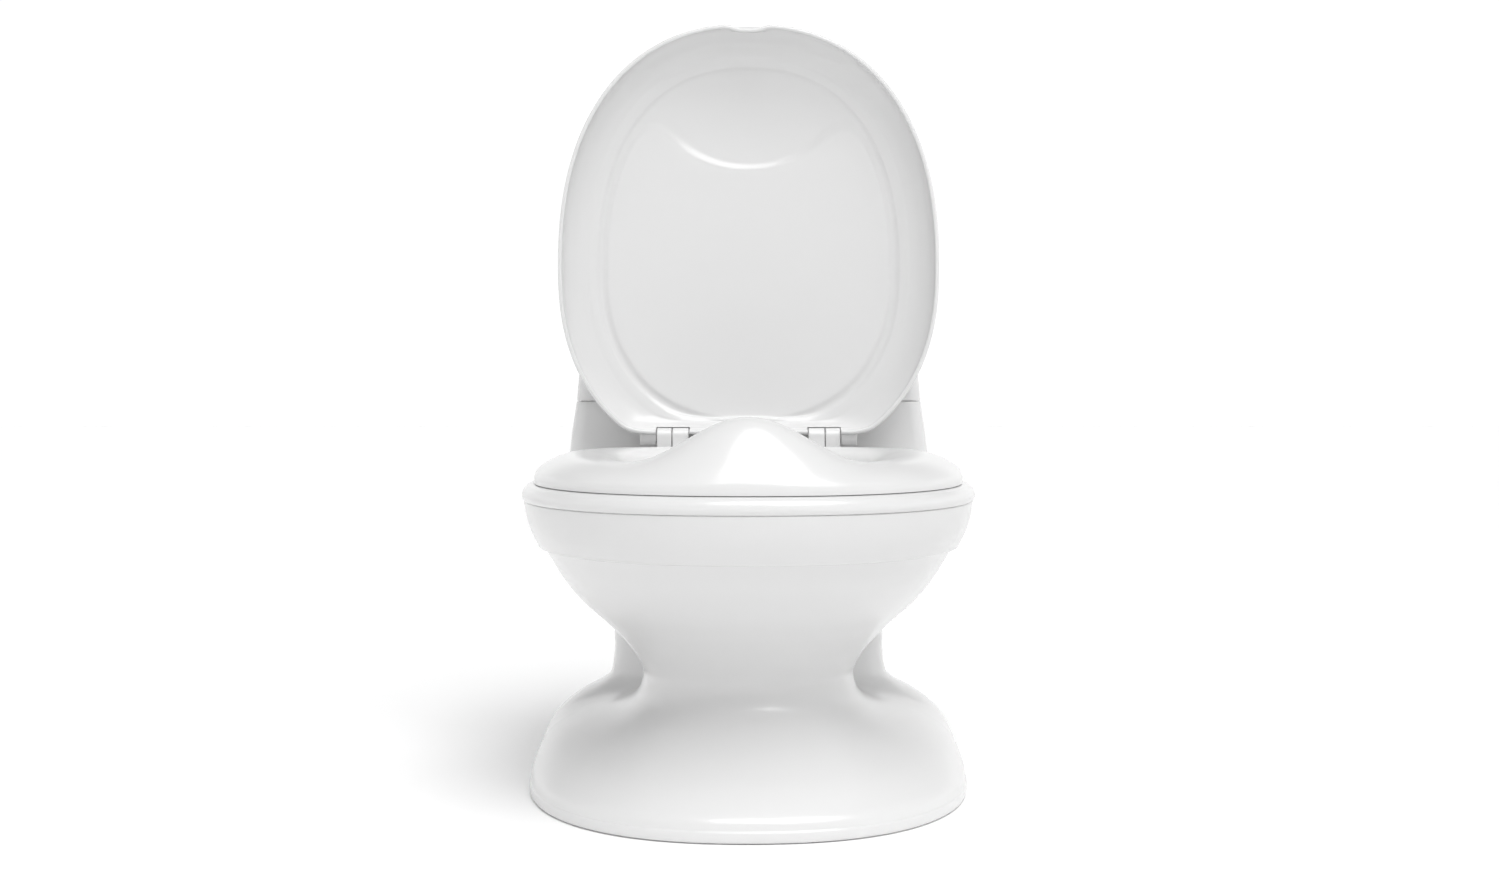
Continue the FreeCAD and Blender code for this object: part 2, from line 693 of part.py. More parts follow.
def seat_outline(share, inset):
    """Outline between the seat's outer edge (share 0) and its opening (share 1)."""
    half = (1 - share) * (size("seat_half") - inset) + share * (size("opening_half") + inset)
    front = (1 - share) * (size("seat_front") - inset) + share * (size("opening_front") + inset)
    rear = (1 - share) * (size("seat_rear") - inset) + share * (size("opening_rear") + inset)
    return superellipse(half, front, rear, 2.3 - 0.1 * share, 3.4 - 1.1 * share)


def seat_skin(inset, lower):
    """Wires at the seat's two feet, and the faces from one over its top to the other."""
    floor = size("seat_bottom_z")
    scale = 60.0
    points = [(share * scale, drop, guard * 20.0) for share, drop, guard in SEAT_PROFILE]
    wires = []
    for p in along_profile(points, 16):
        level = size("seat_crest_z") - p.y - lower

        def rise(x, y, level=level, guard=p.z / 20.0):
            added = guard * size("guard_rise") * guard_share(x, y) + 2.5 * min(y, 0.0) / size("seat_front")
            return max(added, floor + 0.4 - level)

        wires.append(ring(seat_outline(p.x / scale, inset), level, 0.0, rise))
    feet = [ring(seat_outline(share, inset), floor) for share in (0.0, 1.0)]
    faces = walls([feet[0], wires[0]]) + walls(wires) + walls([wires[-1], feet[1]])
    return feet, faces


def make_seat_ring():
    """Hollow seat with a splash guard raised at its front and two hinge lugs behind."""
    outer_feet, outer_faces = seat_skin(0.0, 0.0)
    inner_feet, inner_faces = seat_skin(size("wall"), size("wall"))
    seat = skin(outer_faces + inner_faces + flat(outer_feet[0], inner_feet[0])
                + flat(inner_feet[1], outer_feet[1]))
    for lug in seat_lugs():
        seat = seat.fuse(lug)
    for x, y in seat_pad_places():
        seat = seat.fuse(upright(size("seat_pad_radius") - 1, x, y, size("seat_pad_z"),
                                 size("seat_crest_z") - size("wall") / 2))
    solid_feature("seat_ring", hinge_bores(seat))


def seat_pad_places():
    return [(-80.0, -108.0), (80.0, -108.0), (-104.0, 38.0), (104.0, 38.0)]


def make_seat_pads():
    """Four soft pads under bosses of the seat, which rest on the deck."""
    pads = []
    for index, (x, y) in enumerate(seat_pad_places()):
        pads.append(cylinder(f"seat_pad_{index}", "seat_pad_radius", "seat_pad_z - deck_top_z",
                             str(x), str(y), "deck_top_z"))
    keep(group("seat_pads_group", pads), "seat_pads")


# ---------------------------------------------------------------- lid

# Lid as it lies closed: inset from the rim's outline and height above the rim.
LID_OUTSIDE = [(0.0, 0.0), (-0.2, 4.0), (2.0, 10.5), (9.0, 18.0), (24.0, 24.5), (48.0, 28.0),
               (80.0, 29.0), (108.0, 29.0)]
LID_INSIDE = [(2.6, 0.0), (2.4, 3.7), (4.6, 9.3), (11.5, 15.6), (26.0, 21.9), (49.0, 25.3),
              (80.0, 26.3), (108.0, 26.3)]


def guard_bulge(x, y):
    """Extra height over the splash guard, so that the closed lid clears it."""
    across = max(1.0 - (x / 92.0) ** 2, 0.0)
    along = max(1.0 - ((y + 138.0) / 62.0) ** 2, 0.0)
    return size("guard_dome") * across ** 2 * along ** 2


def clipped(outline, limit):
    """Outline cut off behind a limit, with a softened corner."""

    def point(angle):
        x, y = outline(angle)
        radius = math.hypot(x, y)
        if math.sin(angle) < 0.05:
            return x, y
        radius = smooth_union(radius, limit / math.sin(angle), 7.0)
        return radius * math.cos(angle), radius * math.sin(angle)

    return point


def lid_wires(profile):
    wires = []
    for p in along_profile(profile, 14):
        inset = p.x
        outline = superellipse(size("lid_half") - inset, size("lid_front") - inset,
                               size("lid_rear") - inset, 2.3, 2.3)
        back_inset = min(inset, 4.0) + 0.3 * max(inset - 4.0, 0.0)
        limit = size("lid_back_y") - size("lid_middle") - back_inset
        bulge = guard_bulge if p.y > 12 else None
        wires.append(ring(clipped(outline, limit), size("lid_rim_z") + p.y, size("lid_middle"), bulge))
    return wires


def open_lid():
    """Placement that turns the lid from where it lies closed to where it stands open."""
    return FreeCAD.Placement(V(0, 0, 0), FreeCAD.Rotation(V(1, 0, 0), -90),
                             V(0, size("hinge_y"), size("hinge_z")))


def make_lid():
    """Domed lid with a hollow underside, a finger notch in its front edge and two hinge lugs."""
    outer = lid_wires(LID_OUTSIDE)
    inner = lid_wires(LID_INSIDE)
    back = size("lid_back_y")
    low = size("lid_rim_z")
    lid = skin(walls(outer) + [Part.Face(outer[-1]), Part.Face(inner[-1])] + walls(inner)
               + flat(outer[0], inner[0]))
    hinge = size("hinge_y")
    for side in (-1, 1):
        inner = size("seat_lug_in") - 1.2
        across = size("lid_lug_in") - 0.3 - inner
        start = inner if side > 0 else -inner - across
        lid = lid.cut(Part.makeBox(across, 20, 32, V(start, hinge - 8.5, low - 1)))
        arm_wide = size("lug_wide") + 2.4
        arm_start = inner if side > 0 else -inner - arm_wide
        lid = lid.cut(Part.makeBox(arm_wide, 12, 9, V(arm_start, hinge - 15.5, low - 1)))
    for lug in lug_pair(size("lid_lug_in"), ((back - 14.0, 209.0), (hinge, 219.0))):
        lid = lid.fuse(lug)
    finger = Part.makeCylinder(45, 20, V(0, size("lid_middle") - size("lid_front") - 42.5, low))
    lid = hinge_bores(lid).cut(finger)
    solid_feature("lid", lid, open_lid())


# ---------------------------------------------------------------- bowl


def bowl_wire(inset, level):
    return egg(size("bowl_flange_half") - inset, size("bowl_flange_front") - inset,
               size("bowl_flange_rear") - inset, level, 0.0, 2.2, 2.3)


def make_potty_bowl():
    """Lift-out bowl that hangs by its flange on the deck, with a tab at the rear to lift it by."""
    top = size("deck_top_z")
    flange_top = top + size("bowl_flange")
    bottom = size("bowl_bottom_z")
    wall = size("bowl_wall")
    outside = [(46, bottom), (32, bottom + 2.0), (22.5, bottom + 11), (17.0, bottom + 30),
               (12.0, bottom + 60), (8.5, top)]
    inside = [(46, bottom + wall), (34, bottom + 3.6), (25, bottom + 12), (19.4, bottom + 31),
              (14.4, bottom + 60), (8.5 + wall, flange_top)]
    outer = [bowl_wire(p.x, p.y) for p in along_profile(outside, 14)]
    inner = [bowl_wire(p.x, p.y) for p in along_profile(inside, 14)]
    flange = [bowl_wire(0, top), bowl_wire(0, flange_top)]
    bowl = skin([Part.Face(outer[0])] + walls(outer) + flat(flange[0], outer[-1]) + walls(flange)
                + flat(flange[1], inner[-1]) + walls(inner) + [Part.Face(inner[0])])
    half = size("bowl_tab_half")
    corner = V(-half, size("bowl_flange_rear") - 9.5, flange_top - 1)
    tab = Part.makeBox(2 * half, 3.5, size("bowl_tab") + 1, corner)
    ends = [edge for edge in tab.Edges if edge.BoundBox.YLength > 1 and edge.BoundBox.ZMax > flange_top + 1]
    tab = tab.makeFillet(4.0, [edge for edge in ends if edge.BoundBox.XLength < 0.1])
    solid_feature("potty_bowl", bowl.fuse(tab))


# ---------------------------------------------------------------- tank


def tank_half(level):
    return level_value(level, [(size("deck_top_z"), size("tank_foot_half")), (215.0, 125.0),
                               (size("tank_seam_z"), size("tank_seam_half")), (270.0, 118.6),
                               (size("tank_top_z"), size("tank_top_half"))])


def tank_wire(inset, level, front=None):
    front = size("tank_front_y") if front is None else front
    front_corner = size("tank_front_corner") - inset
    back_corner = size("tank_back_corner") - inset
    back = size("tank_back_y") - 1.5 * (level > 300)
    return rounded_rectangle(tank_half(level) - inset, front + inset, back - inset, front_corner,
                             back_corner, level)


def loft_stack(wires):
    """Solid through a stack of wires with straight sides between them."""
    return Part.makeLoft(wires, True, True)


def tank_screw_places():
    return [(-92.0, 139.0), (92.0, 139.0), (-92.0, 162.0), (92.0, 162.0)]


def make_tank_body():
    """Lower half of the tank: an open box on the deck, with a lip that locates the cover."""
    low = size("deck_top_z")
    seam = size("tank_seam_z")
    floor = low + size("tank_floor")
    wall = size("wall")
    foot = low + size("tank_lift")
    outside = loft_stack([tank_wire(0, foot, 124.0), tank_wire(0, 215.0, 129.5), tank_wire(0, seam)])
    inside = loft_stack([tank_wire(wall, floor, 124.5), tank_wire(wall, 215.0, 129.5),
                         tank_wire(wall, seam + 10)])
    lip_out = wall + size("gap")
    lip = loft_stack([tank_wire(wall - 0.8, seam - 4), tank_wire(lip_out, seam)])
    lip = lip.fuse(loft_stack([tank_wire(lip_out, seam), tank_wire(lip_out + 0.2, seam + size("lip_rise"))]))
    lip_hole = loft_stack([tank_wire(lip_out + 1.8, seam - 5), tank_wire(lip_out + 1.8, seam + 8)])
    body = outside.cut(inside).fuse(lip.cut(lip_hole))
    for x, y in tank_screw_places():
        boss = upright(size("boss_radius"), x, y, low + 1, floor + 8)
        body = body.fuse(boss).cut(upright(size("screw_radius"), x, y, low - 1, low + 9))
    solid_feature("tank_body", body.removeSplitter())


def make_tank_cover():
    """Upper half of the tank: a cap with a rounded top, four posts inside and the button's hole."""
    low = size("tank_seam_z") + size("seam")
    top = size("tank_top_z")
    wall = size("wall")
    outside = loft_stack([tank_wire(0, low), tank_wire(0, 270.0), tank_wire(0, top)])
    rim = [edge for edge in outside.Edges if edge.BoundBox.ZMin > top - 0.1]
    outside = outside.makeFillet(6.5, rim)
    inside = loft_stack([tank_wire(wall, low - 1), tank_wire(wall, 270.0), tank_wire(wall, top - 12.0),
                         tank_wire(wall + 3.5, top - wall)])
    cover = outside.cut(inside)
    for x, y in unit_post_places():
        cover = cover.fuse(upright(3.2, x, y, size("unit_top_z"), top - 1))
        cover = cover.cut(upright(1.2, x, y, size("unit_top_z") - 1, size("unit_top_z") + 5))
    hole = upright(size("collar_radius"), 0, size("button_y"), top - 10, top + 5)
    solid_feature("tank_cover", cover.cut(hole).removeSplitter())


def unit_post_places():
    front = size("unit_front_y") + 4.5
    back = size("unit_back_y") - 4.5
    across = size("unit_post_x")
    return [(-across, front), (across, front), (-across, back), (across, back)]


# ---------------------------------------------------------------- button


def make_button_bezel():
    """Cup through the tank's top that guides the button and carries its spring."""
    turned_body("button_bezel", [
        ("cup_hole", "cup_z"), ("collar_radius", "cup_z"), ("collar_radius", "tank_top_z"),
        ("bezel_radius", "tank_top_z"), ("bezel_radius", "bezel_top_z - 0.6"),
        ("bezel_radius - 0.6", "bezel_top_z"), ("bezel_bore", "bezel_top_z"),
        ("bezel_bore", "cup_floor_z"), ("cup_hole", "cup_floor_z")], "0", "button_y")


def make_flush_button():
    """Round button with a hollow skirt and a stem that reaches the switch."""
    turned_body("flush_button", [
        ("0", "stem_z"), ("stem_radius", "stem_z"), ("stem_radius", "button_top_z - 2.5"),
        ("button_radius - 2", "button_top_z - 2.5"), ("button_radius - 2", "button_skirt_z"),
        ("button_radius", "button_skirt_z"), ("button_radius", "button_top_z - 1.2"),
        ("button_radius - 1.2", "button_top_z - 0.3"), ("0", "button_top_z")], "0", "button_y")


def make_button_spring():
    """Coil spring between the cup's floor and the underside of the button."""
    wire = size("spring_wire")
    low = size("cup_floor_z") + wire
    high = size("spring_top_z") - wire
    radius = size("spring_radius")
    helix = Part.makeHelix((high - low) / size("spring_turns"), high - low, radius)
    start = V(radius, 0, 0)
    section = Part.Wire([Part.makeCircle(wire, start, V(0, 1, 0))])
    coil = Part.Wire(helix.Edges).makePipeShell([section], True, True)
    solid_feature("button_spring", coil, FreeCAD.Placement(V(0, size("button_y"), low), FreeCAD.Rotation()))


# ---------------------------------------------------------------- sound unit


def corners(left, right, front, back):
    return [(left, front), (right, front), (right, back), (left, back)]


def unit_screw_texts():
    """Places of the sound unit's four screws, in terms of the sheet's sizes."""
    return [(x, y) for y in ("unit_front_y + 4.5", "unit_back_y - 4.5")
            for x in ("0 - unit_post_x", "unit_post_x")]


def make_sound_housing():
    """Upper case of the sound unit, open below, with the stem's hole and two ribs over the board."""
    outline = corners("0 - unit_half", "unit_half", "unit_front_y", "unit_back_y")
    case = padded_body("sound_housing", outline, "unit_bottom_z", "unit_top_z")
    hollow = corners("0 - unit_half + unit_wall", "unit_half - unit_wall", "unit_front_y + unit_wall",
                     "unit_back_y - unit_wall")
    pocket(case, hollow, "unit_bottom_z", "unit_top_z - unit_bottom_z - unit_wall", True)
    add_block(case, corners("0 - rib_in - 3", "0 - rib_in", "unit_front_y", "unit_back_y"),
              "board_z + board", "unit_top_z")
    add_block(case, corners("rib_in", "rib_in + 3", "unit_front_y", "unit_back_y"),
              "board_z + board", "unit_top_z")
    drill(case, [("0", "button_y")], "cup_hole", "unit_top_z - unit_wall - 1", "unit_wall + 2")
    drill(case, unit_screw_texts(), "unit_screw_radius", "unit_top_z - unit_wall - 1", "unit_wall + 2")


def make_sound_base():
    """Bottom plate of the sound unit with a window for the cells and holes for speaker and screws."""
    outline = corners("0 - unit_half", "unit_half", "unit_front_y", "unit_back_y")
    plate = padded_body("sound_base", outline, "unit_plate_z", "unit_bottom_z")
    window = corners("door_left_x + 3", "door_right_x - 7.5", "door_front_y + 2", "door_back_y - 2")
    pocket(plate, window, "unit_plate_z - 1", "unit_bottom_z - unit_plate_z + 2", True)
    drill(plate, unit_screw_texts(), "unit_screw_radius", "unit_plate_z - 1", "5")
    grille = [(f"speaker_x + {across}", f"button_y + {along}")
              for across, along in ((0, 0), (5, 0), (-5, 0), (0, 5), (0, -5))]
    drill(plate, grille, "1.3", "unit_plate_z - 1", "5")
    drill(plate, [("door_screw_x", "button_y")], "1", "unit_plate_z - 1", "3")


def make_circuit_board():
    padded_body("circuit_board", corners("0 - board_half", "board_half", "board_front_y", "board_back_y"),
                "board_z", "board_z + board")


def make_tact_switch():
    """Square switch body on the board with a round plunger under the button's stem."""
    body = box("switch_body", "0 - switch_half", "button_y - switch_half", "board_z + board",
               "switch_half + switch_half", "switch_half + switch_half", "switch_top_z - board_z - board - 1")
    plunger = cylinder("switch_plunger", "switch_half - 1.2", "1", "0", "button_y", "switch_top_z - 1")
    keep(fuse("tact_switch_fuse", [body, plunger]), "tact_switch")


def make_speaker():
    """Small round speaker: a basket, and a shallow cone recess facing down through the base."""
    turned_body("speaker", [
        ("0", "unit_bottom_z + 2"), ("speaker_radius - 5", "unit_bottom_z + 0.8"),
        ("speaker_radius - 1.5", "unit_bottom_z"),
        ("speaker_radius", "unit_bottom_z"), ("speaker_radius", "unit_bottom_z + 2.5"),
        ("speaker_radius - 5", "speaker_top_z - 2"), ("speaker_radius - 5", "speaker_top_z"),
        ("0", "speaker_top_z")], "speaker_x", "button_y")


def cell_rows():
    return ["cell_front_y", "cell_back_y"]


def make_battery_cells():
    """Two cylindrical cells side by side, each with a raised positive end."""
    turn = FreeCAD.Rotation(V(0, 1, 0), 90)
    cells = []
    for index, row_y in enumerate(cell_rows()):
        can = cylinder(f"cell_can_{index}", "cell_radius", "cell_long - 1", "cell_x", row_y, "cell_z", turn)
        nub = cylinder(f"cell_nub_{index}", "cell_radius - 3.4", "1", "cell_x + cell_long - 1", row_y,
                       "cell_z", turn)
        cells.append(fuse(f"cell_{index}", [can, nub]))
    keep(group("battery_cells_group", cells), "battery_cells")


def make_battery_contacts():
    """Sprung plates at both ends of each cell, standing on the sound unit's base."""
    plates = []
    for index, row_y in enumerate(cell_rows()):
        for end, start in enumerate(("cell_x - contact", "cell_x + cell_long")):
            plates.append(box(f"contact_{index}_{end}", start, f"{row_y} - 4.5", "unit_bottom_z", "contact",
                              "9", "board_z - unit_bottom_z"))
    keep(group("battery_contacts_group", plates), "battery_contacts")


def make_battery_door():
    """Flat door under the window for the cells, held by one screw."""
    outline = corners("door_left_x", "door_right_x", "door_front_y", "door_back_y")
    door = padded_body("battery_door", outline, "unit_plate_z - door", "unit_plate_z")
    drill(door, [("door_screw_x", "button_y")], "1", "unit_plate_z - door - 1", "door + 2")


def make_battery_door_screw():
    turned_body("battery_door_screw", [
        ("0", "unit_plate_z - door - 1.6"), ("2.6", "unit_plate_z - door - 1.6"),
        ("2.6", "unit_plate_z - door"), ("1", "unit_plate_z - door"), ("1", "unit_plate_z + 1.8"),
        ("0", "unit_plate_z + 1.8")], "door_screw_x", "button_y")


def make_unit_screws():
    """Four small screws, which hold the sound unit up against the posts in the cover."""
    screws = []
    for index, (x, y) in enumerate(unit_post_places()):
        head = cylinder(f"unit_screw_head_{index}", "2.4", "1.4", str(x), str(y), "unit_plate_z - 1.4")
        shank = cylinder(f"unit_screw_shank_{index}", "unit_screw_radius", "unit_top_z - unit_plate_z + 4",
                         str(x), str(y), "unit_plate_z")
        screws.append(fuse(f"unit_screw_{index}", [head, shank]))
    keep(group("unit_screws_group", screws), "unit_screws")


def build():
    make_pedestal_shell()
    make_base_plate()
    make_rubber_feet()
    make_screw_group("base_screws", base_screw_places(), "plate_z", "base_screw")
    make_rim_band()
    make_deck()
    make_screw_group("deck_screws", deck_screw_places(), "pedestal_top_z - flange", "deck_screw")
    make_tank_body()
    make_screw_group("tank_screws", tank_screw_places(), "deck_top_z - wall", "tank_screw")
    make_hinge_pins()
    make_seat_ring()
    make_seat_pads()
    make_lid()
    make_potty_bowl()
    make_tank_cover()
    make_button_bezel()
    make_flush_button()
    make_button_spring()
    make_sound_housing()
    make_sound_base()
    make_circuit_board()
    make_tact_switch()
    make_speaker()
    make_battery_cells()
    make_battery_contacts()
    make_battery_door()
    make_battery_door_screw()
    make_unit_screws()


def write():
    """Checks every object and sub-part, then writes each sub-part to its own file."""
    doc.recompute()
    for obj in doc.Objects:
        assert "Invalid" not in obj.State and "Error" not in obj.State, f"{obj.Label}: {obj.State}"
    for obj in parts:
        assert not obj.Shape.isNull() and obj.Shape.isValid(), f"{obj.Label}: shape is not valid"
    os.makedirs("parts", exist_ok=True)
    for obj in parts:
        obj.Shape.exportStep(f"parts/{obj.Label}.step")
        extent = obj.Shape.optimalBoundingBox()
        print(f"{obj.Label}: {len(obj.Shape.Solids)} solid, {obj.Shape.Volume / 1000:.1f} cm3, "
              f"x {extent.XMin:.1f}..{extent.XMax:.1f} y {extent.YMin:.1f}..{extent.YMax:.1f} "
              f"z {extent.ZMin:.1f}..{extent.ZMax:.1f}")


build()
write()
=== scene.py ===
"""Looks of the potty training chair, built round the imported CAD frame.

Outlines are worked out in millimetres in the frame's own axes and turned into metres when a mesh is made.
"""
import json
import math

import bmesh
import bpy
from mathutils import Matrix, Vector


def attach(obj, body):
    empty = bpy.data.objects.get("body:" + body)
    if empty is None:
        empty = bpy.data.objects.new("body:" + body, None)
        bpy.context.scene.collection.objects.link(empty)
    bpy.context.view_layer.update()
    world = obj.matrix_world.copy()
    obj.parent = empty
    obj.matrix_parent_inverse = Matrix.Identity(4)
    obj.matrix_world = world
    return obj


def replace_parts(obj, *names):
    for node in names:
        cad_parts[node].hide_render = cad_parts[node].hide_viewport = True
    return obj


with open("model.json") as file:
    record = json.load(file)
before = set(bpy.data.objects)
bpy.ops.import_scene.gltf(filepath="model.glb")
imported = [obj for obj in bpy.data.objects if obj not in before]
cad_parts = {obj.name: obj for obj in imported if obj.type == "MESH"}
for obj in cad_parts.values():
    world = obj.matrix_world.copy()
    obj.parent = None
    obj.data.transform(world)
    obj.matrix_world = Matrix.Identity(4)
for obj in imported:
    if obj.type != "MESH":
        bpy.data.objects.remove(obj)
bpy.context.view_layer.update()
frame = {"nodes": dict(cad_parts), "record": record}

MM = 0.001
ROUND = 240           # points round the large outlines
WALL = 2.8            # thickness of the large mouldings
TAU = 2.0 * math.pi

# ---------------------------------------------------------------- materials


def node_input(node, name, value):
    """Sets one socket of a shader node."""
    node.inputs[name].default_value = value


def plastic(name, colour, roughness, spread, grain, bump, coat=0.0):
    """Moulded plastic: a faint flow pattern in its tone and gloss, and the mould's fine texture."""
    material = bpy.data.materials.new(name)
    material.use_nodes = True
    nodes = material.node_tree.nodes
    links = material.node_tree.links
    shader = nodes["Principled BSDF"]
    node_input(shader, "IOR", 1.5)
    node_input(shader, "Coat Weight", coat)
    node_input(shader, "Coat Roughness", 0.08)
    place = nodes.new("ShaderNodeTexCoord")
    flow = nodes.new("ShaderNodeTexNoise")
    node_input(flow, "Scale", 9.0)
    node_input(flow, "Detail", 3.0)
    links.new(place.outputs["Object"], flow.inputs["Vector"])
    tone = nodes.new("ShaderNodeMixRGB")
    tone.inputs["Color1"].default_value = (*[c * 0.985 for c in colour], 1.0)
    tone.inputs["Color2"].default_value = (*colour, 1.0)
    links.new(flow.outputs["Fac"], tone.inputs["Fac"])
    links.new(tone.outputs["Color"], shader.inputs["Base Color"])
    gloss = nodes.new("ShaderNodeMapRange")
    node_input(gloss, "To Min", roughness - spread)
    node_input(gloss, "To Max", roughness + spread)
    links.new(flow.outputs["Fac"], gloss.inputs["Value"])
    links.new(gloss.outputs["Result"], shader.inputs["Roughness"])
    fine = nodes.new("ShaderNodeTexNoise")
    node_input(fine, "Scale", grain)
    node_input(fine, "Detail", 2.0)
    links.new(place.outputs["Object"], fine.inputs["Vector"])
    relief = nodes.new("ShaderNodeBump")
    node_input(relief, "Strength", bump)
    node_input(relief, "Distance", 0.0004)
    links.new(fine.outputs["Fac"], relief.inputs["Height"])
    links.new(relief.outputs["Normal"], shader.inputs["Normal"])
    return material


def metal(name, colour, roughness, stretch):
    """Drawn or plated metal with fine lines along one direction."""
    material = bpy.data.materials.new(name)
    material.use_nodes = True
    nodes = material.node_tree.nodes
    links = material.node_tree.links
    shader = nodes["Principled BSDF"]
    node_input(shader, "Metallic", 1.0)
    place = nodes.new("ShaderNodeTexCoord")
    scale = nodes.new("ShaderNodeMapping")
    scale.inputs["Scale"].default_value = stretch
    links.new(place.outputs["Object"], scale.inputs["Vector"])
    lines = nodes.new("ShaderNodeTexNoise")
    node_input(lines, "Scale", 1.0)
    node_input(lines, "Detail", 3.0)
    links.new(scale.outputs["Vector"], lines.inputs["Vector"])
    tone = nodes.new("ShaderNodeMixRGB")
    tone.inputs["Color1"].default_value = (*[c * 0.8 for c in colour], 1.0)
    tone.inputs["Color2"].default_value = (*colour, 1.0)
    links.new(lines.outputs["Fac"], tone.inputs["Fac"])
    links.new(tone.outputs["Color"], shader.inputs["Base Color"])
    gloss = nodes.new("ShaderNodeMapRange")
    node_input(gloss, "To Min", roughness - 0.08)
    node_input(gloss, "To Max", roughness + 0.08)
    links.new(lines.outputs["Fac"], gloss.inputs["Value"])
    links.new(gloss.outputs["Result"], shader.inputs["Roughness"])
    return material


WHITE = (0.72, 0.72, 0.72)
MATERIALS = {
    "white_gloss": plastic("white_gloss", WHITE, 0.24, 0.05, 900.0, 0.05, 0.25),
    "white_satin": plastic("white_satin", (0.72, 0.72, 0.71), 0.45, 0.06, 1400.0, 0.15),
    "pad_rubber": plastic("pad_rubber", (0.45, 0.45, 0.45), 0.75, 0.08, 2200.0, 0.35),
    "unit_plastic": plastic("unit_plastic", (0.05, 0.05, 0.055), 0.5, 0.08, 2500.0, 0.4),
    "board_laminate": plastic("board_laminate", (0.02, 0.12, 0.05), 0.35, 0.08, 1500.0, 0.1),
    "switch_plastic": plastic("switch_plastic", (0.02, 0.02, 0.02), 0.4, 0.06, 2000.0, 0.2),
    "speaker_cone": plastic("speaker_cone", (0.03, 0.03, 0.032), 0.7, 0.08, 3000.0, 0.5),
    "cell_sleeve": metal("cell_sleeve", (0.35, 0.38, 0.42), 0.35, (20.0, 900.0, 900.0)),
    "screw_steel": metal("screw_steel", (0.62, 0.62, 0.63), 0.32, (900.0, 900.0, 60.0)),
    "spring_steel": metal("spring_steel", (0.66, 0.66, 0.67), 0.26, (500.0, 500.0, 900.0)),
    "contact_nickel": metal("contact_nickel", (0.72, 0.71, 0.67), 0.24, (60.0, 700.0, 700.0)),
}

SLOTS = {entry["node"]: entry["material_slot"] for entry in frame["record"]["subparts"]}
for node_name, cad_piece in frame["nodes"].items():
    cad_piece.data.materials.clear()
    cad_piece.data.materials.append(MATERIALS[SLOTS[node_name]])

BODY_OF = {node: body for body, members in frame["record"]["behaviour"]["bodies"].items() for node in members}

# ---------------------------------------------------------------- mesh making


def make_piece(name, points, faces, node, sharp=None):
    """Mesh piece in metres that stands for, or belongs to, a CAD node and rides on that node's body."""
    mesh = bpy.data.meshes.new(name)
    mesh.from_pydata([(x * MM, y * MM, z * MM) for x, y, z in points], [], faces)
    mesh.validate()
    mesh.materials.append(MATERIALS[SLOTS[node]])
    piece = bpy.data.objects.new(name, mesh)
    bpy.context.scene.collection.objects.link(piece)
    for polygon in mesh.polygons:
        polygon.use_smooth = True
    if sharp is not None:
        mesh.set_sharp_from_angle(angle=math.radians(sharp))
    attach(piece, BODY_OF[node])
    return piece


def ring_faces(count, rings, closed):
    """Quads between neighbouring rings of count points; closed also joins the last ring to the first."""
    faces = []
    for k in range(rings if closed else rings - 1):
        low = k * count
        high = ((k + 1) % rings) * count
        for i in range(count):
            j = (i + 1) % count
            faces.append((low + i, low + j, high + j, high + i))
    return faces


def loft(name, rings, node, closed=True, caps=(), sharp=None):
    """Skin through rings. caps gives the middle point of a flat or domed end for the first or last ring."""
    count = len(rings[0])
    points = [p for ring in rings for p in ring]
    faces = ring_faces(count, len(rings), closed)
    for end, middle in caps:
        start = 0 if end == "first" else (len(rings) - 1) * count
        points.append(middle)
        tip = len(points) - 1
        for i in range(count):
            j = (i + 1) % count
            faces.append((start + j, start + i, tip) if end == "first" else (start + i, start + j, tip))
    return make_piece(name, points, faces, node, sharp)


def face_outwards(piece):
    """Turns a closed piece's faces outwards."""
    work = bmesh.new()
    work.from_mesh(piece.data)
    bmesh.ops.recalc_face_normals(work, faces=work.faces)
    work.to_mesh(piece.data)
    work.free()
    return piece


def smooth_path(points, steps):
    """Points along a smooth curve through the given ones, with steps between each pair."""
    path = []
    last = len(points) - 1
    for k in range(last):
        p0 = points[max(k - 1, 0)]
        p1 = points[k]
        p2 = points[k + 1]
        p3 = points[min(k + 2, last)]
        for step in range(steps):
            t = step / steps
            path.append(tuple(
                0.5 * (2 * b + (c - a) * t + (2 * a - 5 * b + 4 * c - d) * t * t
                       + (3 * b - a - 3 * c + d) * t ** 3)
                for a, b, c, d in zip(p0, p1, p2, p3)))
    path.append(tuple(points[last]))
    return path


def angles(count=ROUND):
    """Directions evenly spaced round a full turn."""
    return [TAU * i / count for i in range(count)]


def superellipse(half, front, rear, front_power=2.3, rear_power=3.4):
    """Reach of an egg-shaped outline about its middle, as a function of the angle."""

    def reach(angle):
        c = math.cos(angle)
        s = math.sin(angle)
        power = rear_power if s > 0 else front_power
        end = rear if s > 0 else front
        return ((abs(c) / half) ** power + (abs(s) / end) ** power) ** (-1.0 / power)

    return reach


def ring_of(reach, level, middle=0.0, turns=None):
    """Points of an outline at a level; level may be a function of x and y."""
    points = []
    for angle in turns or angles():
        r = reach(angle)
        x = r * math.cos(angle)
        y = middle + r * math.sin(angle)
        points.append((x, y, level(x, y) if callable(level) else level))
    return points


def table_value(level, table):
    """Straight-line value between the entries of a table of (level, value) pairs."""
    if level <= table[0][0]:
        return table[0][1]
    for (low, first), (high, second) in zip(table, table[1:]):
        if level <= high:
            return first + (level - low) / (high - low) * (second - first)
    return table[-1][1]


def soft_step(value):
    """Smooth rise from 0 to 1 as the value goes from 0 to 1."""
    value = min(max(value, 0.0), 1.0)
    return value * value * (3.0 - 2.0 * value)


